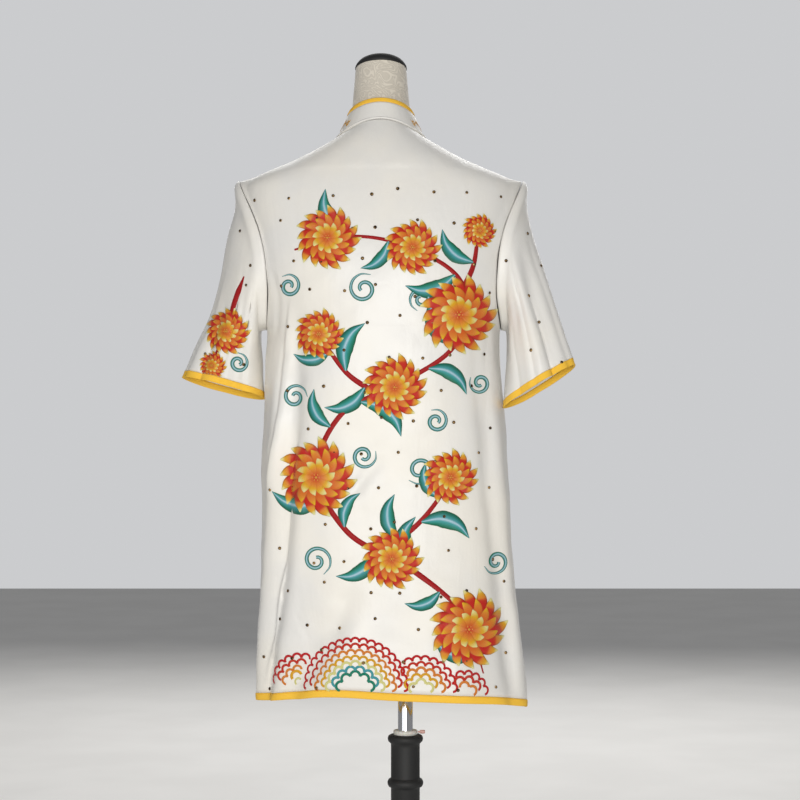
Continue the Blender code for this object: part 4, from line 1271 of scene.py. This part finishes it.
def colour_line(stops, at):
    """Colours along a line of stops, for an array of places."""
    places = [s[0] for s in stops]
    return np.stack([np.interp(at, places, [s[1][k] for s in stops]) for k in range(3)], axis=-1)


def plain(colour, spread=0.12):
    """One colour, a little darker towards the strip's edges."""
    def colour_at(along, across):
        shade = 1.0 - spread * np.abs(across * 2 - 1) ** 2
        return np.asarray(colour) * shade[..., None]
    return colour_at


def banded(stops):
    """Colours that change along the strip, with a darker outline."""
    def colour_at(along, across):
        return colour_line(stops, along) * (1 - 0.45 * np.abs(2 * across - 1)[..., None] ** 6)
    return colour_at


def teal(along, across):
    return colour_line(TEAL_ACROSS, across)


def points_object(name, places, facing, heading, size, colours):
    """Loose points that carry what a motif needs to stand on each of them."""
    mesh = bpy.data.meshes.new(name)
    mesh.from_pydata(np.asarray(places).tolist(), [], [])
    for key, values in (("facing", facing), ("heading", heading), ("size", size)):
        vectors = np.asarray(values, float).ravel()
        mesh.attributes.new(key, "FLOAT_VECTOR", "POINT").data.foreach_set("vector", vectors)
    colour_points(mesh, colours)
    return linked(name, mesh)


class Tree:
    """A Geometry Nodes tree under way, with named inputs and one geometry output."""

    def __init__(self, name, inputs):
        self.group = bpy.data.node_groups.new(name, "GeometryNodeTree")
        self.group.interface.new_socket("Geometry", in_out="INPUT", socket_type="NodeSocketGeometry")
        for label, kind in inputs:
            self.group.interface.new_socket(label, in_out="INPUT", socket_type=kind)
        self.group.interface.new_socket("Geometry", in_out="OUTPUT", socket_type="NodeSocketGeometry")
        self.inputs = self.group.nodes.new("NodeGroupInput").outputs
        self.output = self.group.nodes.new("NodeGroupOutput").inputs[0]

    def node(self, kind, set_first=None, values=None, out=0):
        made = self.group.nodes.new(kind)
        for key, value in (set_first or {}).items():
            setattr(made, key, value)
        for key, value in (values or {}).items():
            if isinstance(value, bpy.types.NodeSocket):
                self.group.links.new(value, made.inputs[key])
            else:
                made.inputs[key].default_value = value
        return made.outputs[out]

    def attribute(self, name):
        return self.node("GeometryNodeInputNamedAttribute", {"data_type": "FLOAT_VECTOR"}, {"Name": name})

    def aligned(self, axis, vector, pivot="AUTO", start=None):
        values = {"Vector": vector} if start is None else {"Rotation": start, "Vector": vector}
        return self.node("FunctionNodeAlignRotationToVector", {"axis": axis, "pivot_axis": pivot}, values)

    def placed(self, points, instance, rotation, scale):
        values = {"Points": points, "Instance": instance, "Rotation": rotation, "Scale": scale}
        return self.node("GeometryNodeInstanceOnPoints", None, values)

    def end(self, geometry, material):
        real = self.node("GeometryNodeRealizeInstances", None, {0: geometry})
        shown = self.node("GeometryNodeSetMaterial", None, {"Geometry": real, "Material": material})
        self.group.links.new(shown, self.output)
        return self.group


def motif_tree():
    """Puts a motif on every point, its Z along facing and its X along heading, at the point's size."""
    found = bpy.data.node_groups.get("motif_on_points")
    if found:
        return found
    inputs = [("Motif", "NodeSocketObject"), ("Scale", "NodeSocketFloat"), ("Finish", "NodeSocketMaterial")]
    tree = Tree("motif_on_points", inputs)
    motif = tree.node("GeometryNodeObjectInfo", None, {"Object": tree.inputs["Motif"]}, out="Geometry")
    stand = tree.aligned("Z", tree.attribute("facing"))
    point = tree.aligned("X", tree.attribute("heading"), "Z", stand)
    scale = {0: tree.attribute("size"), "Scale": tree.inputs["Scale"]}
    size = tree.node("ShaderNodeVectorMath", {"operation": "SCALE"}, scale)
    return tree.end(tree.placed(tree.inputs["Geometry"], motif, point, size), tree.inputs["Finish"])


def stitch_tree():
    """Lays short stitches along every path, at an even pitch."""
    found = bpy.data.node_groups.get("stitches_on_paths")
    if found:
        return found
    inputs = [(label, "NodeSocketFloat") for label in ("Pitch", "Length", "Width")]
    tree = Tree("stitches_on_paths", inputs + [("Finish", "NodeSocketMaterial")])
    curve = tree.node("GeometryNodeMeshToCurve", None, {0: tree.inputs["Geometry"]})
    pitch = {"Curve": curve, "Length": tree.inputs["Pitch"]}
    even = tree.node("GeometryNodeResampleCurve", {"mode": "LENGTH"}, pitch)
    stitch = tree.node("GeometryNodeMeshUVSphere", None, {"Segments": 6, "Rings": 4, "Radius": 0.5})
    turned = tree.aligned("Z", tree.node("GeometryNodeInputTangent"))
    width, length = tree.inputs["Width"], tree.inputs["Length"]
    size = tree.node("ShaderNodeCombineXYZ", None, {0: width, 1: width, 2: length})
    real = tree.node("GeometryNodeRealizeInstances", None, {0: tree.placed(even, stitch, turned, size)})
    return tree.end(tree.node("GeometryNodeSetShadeSmooth", None, {0: real}), tree.inputs["Finish"])


def grown(source, tree, name, finish, **values):
    """Runs a tree on a source object and keeps the result as a plain mesh object."""
    modifier = source.modifiers.new("tree", "NODES")
    modifier.node_group = tree
    for item in tree.interface.items_tree:
        if item.item_type == "SOCKET" and item.in_out == "INPUT" and item.name in values:
            modifier[item.identifier] = values[item.name]
    seen = source.evaluated_get(bpy.context.evaluated_depsgraph_get())
    mesh = bpy.data.meshes.new_from_object(seen)
    mesh.name = name
    source.modifiers.remove(modifier)
    bpy.data.objects.remove(source)
    for poly in mesh.polygons:
        poly.use_smooth = True
    return put_in_scene(name, mesh, finish)


def scallop_motif():
    """A domed arc of thread, one unit wide, whose bow points along X."""
    points, uv_at = [], []
    bow = np.radians(np.linspace(-96, 96, 10))
    for a in bow:
        for off, high in ((-1.0, 0.0), (-0.4, 0.8), (0.4, 0.8), (1.0, 0.0)):
            r = 0.5 + off * 0.14
            points.append((r * np.cos(a), r * np.sin(a), high * 0.075))
            uv_at.append((a * 0.5 * 0.016, off * 0.002))
    faces, uv = [], []
    for i in range(len(bow) - 1):
        for j in range(3):
            at = i * 4 + j
            corners = (at, at + 1, at + 5, at + 4)
            faces.append(corners)
            uv += [uv_at[c] for c in corners]
    return linked("scallop_motif", mesh_from("scallop_motif", points, faces, uv))


def stud_motif():
    """A domed stud with a flat rim, one unit wide."""
    outline = [(0.20, 0.27), (0.34, 0.17), (0.38, 0.10), (0.47, 0.09), (0.50, 0.05), (0.50, -0.02)]
    sides = 12
    points, faces = [(0.0, 0.0, 0.30)], []
    for r, h in outline:
        points += [(r * np.cos(a), r * np.sin(a), h) for a in np.arange(sides) * 2 * np.pi / sides]
    for j in range(sides):
        k = (j + 1) % sides
        faces.append((0, 1 + j, 1 + k))
        for a in range(1, 1 + (len(outline) - 1) * sides, sides):
            faces.append((a + j, a + sides + j, a + sides + k, a + k))
    uv = [(0.0, 0.0)] * sum(len(face) for face in faces)
    return linked("stud_motif", mesh_from("stud_motif", points, faces, uv))


def wave_points(span):
    """Place, heading, size and colour of each wave, in rows along the arc of each hill, the nearer hills first."""
    waves = []
    for number, (x, z, radius) in enumerate(HILLS):
        for row, (inset, colour) in enumerate(WAVE_ROWS):
            reach = radius - inset
            if reach < span / 2:
                continue
            count = max(int(np.pi * reach / span), 2)
            for k in range(count + row % 2):
                angle = np.pi * (k + 0.5 - 0.5 * (row % 2)) / count
                heading = np.array([np.cos(angle), np.sin(angle)])
                place = np.array([x, z]) + reach * heading
                hidden = any(np.hypot(place[0] - a, place[1] - b) < r + 0.003 for a, b, r in HILLS[:number])
                if place[1] > z and not hidden:
                    waves.append((place, heading, np.pi * reach / count * 1.02, np.array(colour)))
    return waves


def on_ground(ground, items, lift):
    """Turns drawn items into places, facings and headings on the cloth."""
    drawn = np.array([item[0] for item in items])
    ahead = drawn + np.array([item[1] for item in items]) * 0.004
    place, normal = ground(drawn)
    ahead_place, _ = ground(ahead)
    return place + normal * lift, normal, unit(ahead_place - place)


def scattered(source, motif, name, finish, scale, slot):
    """Puts the motif on the source's points as one mesh that rides on the figure."""
    made = grown(source, motif_tree(), name, finish, Motif=motif, Scale=scale, Finish=finish_of(finish))
    dressed(made, "figure", slot)
    bpy.data.objects.remove(motif)


class UNIFORM_OT_embroidery(Maker):
    """Embroiders the back and the left sleeve with chrysanthemums, leaves and curls on a stem, and waves at the hem"""

    bl_idname = "uniform.embroidery"
    bl_label = "Embroidery"

    def make(self, context):
        ground = Ground(["satin_back", "satin_sleeve_left"])
        waves = wave_points(settings().wave_span)
        place, normal, heading = on_ground(ground, waves, 0.0003)
        size = np.repeat([[wave[2]] for wave in waves], 3, axis=1)
        colours = np.array([wave[3] for wave in waves])
        source = points_object("wave_points", place, normal, heading, size, colours)
        scattered(source, scallop_motif(), "embroidered_waves", "embroidery_thread", 1.0, "satin")
        needle = Needle(ground)
        length = settings().leaf_length
        for path, leaves, first, scale in STEMS:
            line = smooth_path(path, 20 * len(path))
            widths = [0.0020, 0.0082, 0.0078, 0.0072, 0.0066, 0.0060, 0.0030]
            needle.stroke(line, widths, plain(STEM_RED), relief=0.0010, across=5, count=len(line))
            for k in range(leaves):
                at = int((k + 0.6) / leaves * (len(line) - 2))
                way = unit(line[at + 1] - line[at])
                side = np.array([-way[1], way[0]]) * first * (-1) ** k
                clear = min(np.hypot(*(line[at] - (x, z))) / radius for x, z, radius in BLOSSOMS)
                if clear > 0.55:
                    size = length * scale * (1.0 + 0.18 * np.sin(2.3 * k))
                    needle.leaf(line[at], unit(way * 0.55 + side), size)
        for curl in CURLS:
            needle.curl(*curl, teal)
        for number, (x, z, radius) in enumerate(BLOSSOMS):
            needle.blossom(x, z, radius, 0.7 * number)
        dressed(needle.finish("embroidered_flowers"), "figure", "satin")


class UNIFORM_OT_collar_scroll(Maker):
    """Embroiders a gold scroll on both sides of the collar, and lays the welt round its foot"""

    bl_idname = "uniform.collar_scroll"
    bl_label = "Collar scroll"

    def make(self, context):
        def ground(drawn):
            turns, heights = drawn[:, 0] / 0.058 * 57.3 + 90.0, drawn[:, 1] / 0.040
            return collar(turns, heights), outward_normals(collar, turns, heights)

        needle = Needle(ground)
        middle, swing, step = 0.0160, 0.0042, 0.0140
        for way in (1, -1):
            across = np.linspace(0.010, 0.133, 50)
            wave = np.stack([across * way, middle + swing * np.cos(across / step * np.pi)], axis=-1)
            widths = [0.0010, 0.0026, 0.0026, 0.0026, 0.0010]
            needle.stroke(wave, widths, plain(GOLD_THREAD), across=5, count=140)
            for k in range(9):
                up = (-1) ** k
                x, z = (0.0145 + step * k) * way, middle - up * 0.0022
                needle.curl(x, z, 0.0038, up * np.pi / 2, up * way, plain(GOLD_THREAD), 0.0022)
        dressed(needle.finish("embroidered_collar_scroll"), "figure", "gold_braid")
        turns = np.linspace(90 + COLLAR_GAP, 450 - COLLAR_GAP, 220)
        heights = np.full(220, WELT_HEIGHT)
        normals = outward_normals(collar, turns, heights)
        points, faces, uv = cord_along(collar(turns, heights) + normals * 0.0006, normals, 0.0016)
        welt = put_in_scene("collar_welt", mesh_from("collar_welt", points, faces, uv), "ivory_satin")
        dressed(welt, "figure", "satin")


class UNIFORM_OT_studs(Maker):
    """Scatters small studs over the back, fronts and sleeves"""

    bl_idname = "uniform.studs"
    bl_label = "Studs"

    def make(self, context):
        rng = np.random.default_rng(settings().seed)
        spacing = settings().stud_spacing
        names = ["satin_back", "satin_front_left", "satin_front_right", "satin_sleeve_left", "satin_sleeve_right"]
        places, facing = [], []
        for side in (-1, 1):
            ground = Ground(names, side)
            for number, z in enumerate(np.arange(STUD_LOW, STUD_HIGH, spacing * 0.92)):
                for x in np.arange(STUD_LEFT + spacing * 0.5 * (number % 2), STUD_RIGHT, spacing):
                    x_at = x + rng.uniform(-STUD_JITTER, STUD_JITTER)
                    z_at = z + rng.uniform(-STUD_JITTER, STUD_JITTER)
                    place, normal, _, _ = ground.tree.ray_cast((x_at, side, z_at), (0.0, -side, 0.0))
                    outside = place is not None and place.y * side > -0.02 and normal.y * side > 0.45
                    near_frogs = side > 0 and abs(x_at - FRONT_MIDDLE) < FROG_ROOM
                    if outside and not near_frogs:
                        places.append(tuple(place + normal * STUD_LIFT))
                        facing.append(tuple(normal))
        count = len(places)
        size = np.full((count, 3), 1.0) * rng.uniform(0.9, 1.08, (count, 1))
        heading = np.tile((1.0, 0.0, 0.3), (count, 1))
        source = points_object("stud_points", places, facing, heading, size, np.ones((count, 3)))
        scattered(source, stud_motif(), "studs", "antique_studs", settings().stud_size, "gold_braid")


def path_mesh(name, paths):
    """Open paths as loose edges."""
    points, edges = [], []
    for path in paths:
        start = len(points)
        points += [tuple(p) for p in path]
        edges += [(start + i, start + i + 1) for i in range(len(path) - 1)]
    mesh = bpy.data.meshes.new(name)
    mesh.from_pydata(points, edges, [])
    return linked(name, mesh)


class UNIFORM_OT_stitching(Maker):
    """Sews a row of stitches along the hem, cuffs, shoulders, armholes and collar"""

    bl_idname = "uniform.stitching"
    bl_label = "Stitching"

    def make(self, context):
        white, gold = [], []
        for name, (surface, left, right) in PANELS.items():
            extra = worn_detail(name)

            def line(turns, rises, lift=STITCH_LIFT, into=white):
                turns, rises = np.broadcast_arrays(np.asarray(turns, float), np.asarray(rises, float))
                base = surface(turns, rises)
                normals = outward_normals(surface, turns, rises)
                into.append(base + normals * (extra(base)[..., None] + lift))

            edge = np.linspace(left(0.0) + 0.6, right(0.0) - 0.6, 160)
            line(edge, binding_rise(edge) * 0.82, BOUND_STITCH_LIFT, gold)
            armhole = rise_at(np.linspace(UNDERARM_Z + 0.004, SHOULDER_Z - 0.004, 60))
            if name != "front_left":
                line(left(armhole) + STITCH_INSET, armhole)
            if name != "front_right":
                line(right(armhole) - STITCH_INSET, armhole)
            if name == "back":
                over = 1.0 + np.linspace(0.02, 0.97, 50)
                inward = STITCH_INSET + 2.5 * (over - 1)
                line(180 + inward, over)
                line(360 - inward, over)
            elif name == "front_right":
                line(CLOSING_EDGE - 1.2, np.linspace(0.03, 1.94, 200))
        for side in (1, -1):
            face = sleeve(side, fine=True)
            turns = np.linspace(0.0, 358.0, 140)
            bound = 1.0 - 0.80 * CUFF_BINDING / sleeve_length(side, turns)
            normals = outward_normals(face, turns, bound) * (-1.0 if side > 0 else 1.0)
            gold.append(face(turns, bound) + normals * BOUND_STITCH_LIFT)
        turns = np.linspace(97, 443, 200)
        for height, lift, into in ((0.10, STITCH_LIFT, white), (0.86, 0.0011, gold)):
            heights = np.full(200, height)
            into.append(collar(turns, heights) + outward_normals(collar, turns, heights) * lift)
        s = settings()
        sizes = {"Pitch": s.stitch_pitch, "Length": s.stitch_pitch * 0.72, "Width": s.stitch_width}
        threads = ("white", white, "ivory_satin", "satin"), ("gold", gold, "gold_satin", "gold_satin")
        for word, paths, finish, slot in threads:
            name = f"stitches_{word}"
            source = path_mesh(f"{name}_paths", paths)
            made = grown(source, stitch_tree(), name, finish, Finish=finish_of(finish), **sizes)
            dressed(made, "figure", slot)


def ring_stack(name, rings, finish):
    """A smooth closed body through rings of equal count, its ends closed by fans."""
    rings = np.asarray(rings)
    rows, cols = rings.shape[:2]
    points = list(rings.reshape(-1, 3)) + [rings[0].mean(axis=0), rings[-1].mean(axis=0)]
    i, j = (g.ravel() for g in np.meshgrid(np.arange(rows - 1), np.arange(cols), indexing="ij"))
    k = (j + 1) % cols
    faces = np.stack([i * cols + j, i * cols + k, (i + 1) * cols + k, (i + 1) * cols + j], axis=-1).tolist()
    low, high, last = rows * cols, rows * cols + 1, (rows - 1) * cols
    for j in range(cols):
        k = (j + 1) % cols
        faces += [(low, k, j), (high, last + j, last + k)]
    mesh = mesh_from(name, points, faces)
    mesh.set_sharp_from_angle(angle=np.radians(50))
    return put_in_scene(name, mesh, finish)


class UNIFORM_OT_dress_form(Maker):
    """Makes the smooth torso with its neck, and the black cap on top"""

    bl_idname = "uniform.dress_form"
    bl_label = "Dress form"

    def make(self, context):
        turns = np.arange(144) * 2.5
        inside = 0.001
        rings = []
        for row in FIGURE:
            x, y = oval(turns, row.half - inside, row.back - inside, row.front - inside, CORNER)
            rings.append(joined(x + row.middle, y, row.z))
        front_room = 0.0045 * np.maximum(sine(turns), 0.0) ** 2
        tip_room = 0.009 * np.abs(cosine(turns)) ** 6
        for share in (0.0, 0.14, 0.32, 0.52, 0.72, 0.88):
            rises = np.full(len(turns), 1 + share)
            room = 0.0065 if share < 0.4 else 0.0040
            gap = CLOTH + room + front_room + tip_room * (1.0 - share) ** 2
            rings.append(trunk(turns, rises) - outward_normals(trunk, turns, rises) * gap[:, None])
        middle = column(TRUNK, "middle", SHOULDER_Z)
        for ring in NECK:
            x, y = oval(turns, ring.half, ring.deep, ring.deep, NECK_CORNER)
            z = arched(ring.z, ring.rise, ring.fall, ring.arch, turns)
            rings.append(joined(x + middle, y + ring.middle_y, z))
        rings = np.array(rings)
        steps = np.linspace(0, len(rings) - 1, 4 * (len(rings) - 1) + 1)
        smooth = through(np.arange(len(rings)), rings, steps)
        torso = ring_stack("padded_torso", smooth, "cover_damask")
        dressed(torso, "figure", "cover_cloth", "form_torso")

        top = rings[-1]
        centre = top.mean(axis=0)
        cap = [centre + (top - centre) * share + np.array([0, 0, up]) for share, up in CAP_PROFILE]
        dressed(ring_stack("neck_cap", cap, "black_lacquer"), "figure", "black_lacquer", "form_cap")


def spun(name, profile, finish, sides=96, turn=None, place=None):
    """A turned body about Z, or about the axis that turn and place give."""
    angle = np.arange(sides) * 2 * np.pi / sides
    rings = np.array([joined(r * np.cos(angle), r * np.sin(angle), z) for r, z in profile])
    if turn is not None:
        rings = rings @ np.array(turn.to_matrix()).T + np.array(place)
    return ring_stack(name, rings, finish)


class UNIFORM_OT_stand(Maker):
    """Makes the chrome pole, its bush and set screw, the turned column and the round base"""

    bl_idname = "uniform.stand"
    bl_label = "Stand"

    def make(self, context):
        dressed(spun("chrome_pole", POLE_PROFILE, "chrome"), "mast", "chrome", "stand_pole")
        dressed(spun("pole_flange", FLANGE_PROFILE, "chrome"), "figure", "chrome")
        dressed(spun("pole_bush", BUSH_PROFILE, "bush_nylon"), "stand", "nylon", "stand_bush")
        tilt = Vector((1, 0, 0)).to_track_quat("Z", "Y")
        screw = spun("set_screw", SCREW_PROFILE, "screw_plastic", 32, tilt, (0.0184, 0.0, 0.5113))
        dressed(screw, "stand", "nylon", "stand_set_screw")
        column_ = spun("turned_column", COLUMN_PROFILE[::-1], "black_lacquer", 128)
        dressed(column_, "stand", "black_lacquer", "stand_column")
        base = spun("round_base", BASE_PROFILE[::-1], "black_lacquer", 160)
        dressed(base, "stand", "black_lacquer", "stand_base")


class UNIFORM_PT_panel(bpy.types.Panel):
    """Lists the uniform's settings and makers"""

    bl_idname = "UNIFORM_PT_panel"
    bl_label = "Uniform"
    bl_space_type = "VIEW_3D"
    bl_region_type = "UI"
    bl_category = "Uniform"

    def draw(self, context):
        for name in UniformSettings.__annotations__:
            self.layout.prop(context.scene.uniform, name)
        for maker in MAKERS:
            self.layout.operator(maker.bl_idname)


MAKERS = (
    UNIFORM_OT_stage, UNIFORM_OT_dress_form, UNIFORM_OT_stand, UNIFORM_OT_panels, UNIFORM_OT_sleeves,
    UNIFORM_OT_collar, UNIFORM_OT_frogs, UNIFORM_OT_embroidery, UNIFORM_OT_collar_scroll, UNIFORM_OT_studs,
    UNIFORM_OT_stitching,
)
CLASSES = (UniformSettings, *MAKERS, UNIFORM_PT_panel)


def register():
    for cls in CLASSES:
        bpy.utils.register_class(cls)
    bpy.types.Scene.uniform = PointerProperty(type=UniformSettings)


def unregister():
    del bpy.types.Scene.uniform
    for cls in reversed(CLASSES):
        bpy.utils.unregister_class(cls)


def main():
    register()
    bpy.ops.uniform.stage()
    bpy.ops.uniform.dress_form()
    bpy.ops.uniform.stand()
    bpy.ops.uniform.panels()
    bpy.ops.uniform.sleeves()
    bpy.ops.uniform.collar()
    bpy.ops.uniform.frogs()
    bpy.ops.uniform.embroidery()
    bpy.ops.uniform.collar_scroll()
    bpy.ops.uniform.studs()
    bpy.ops.uniform.stitching()


if __name__ == "__main__":
    main()
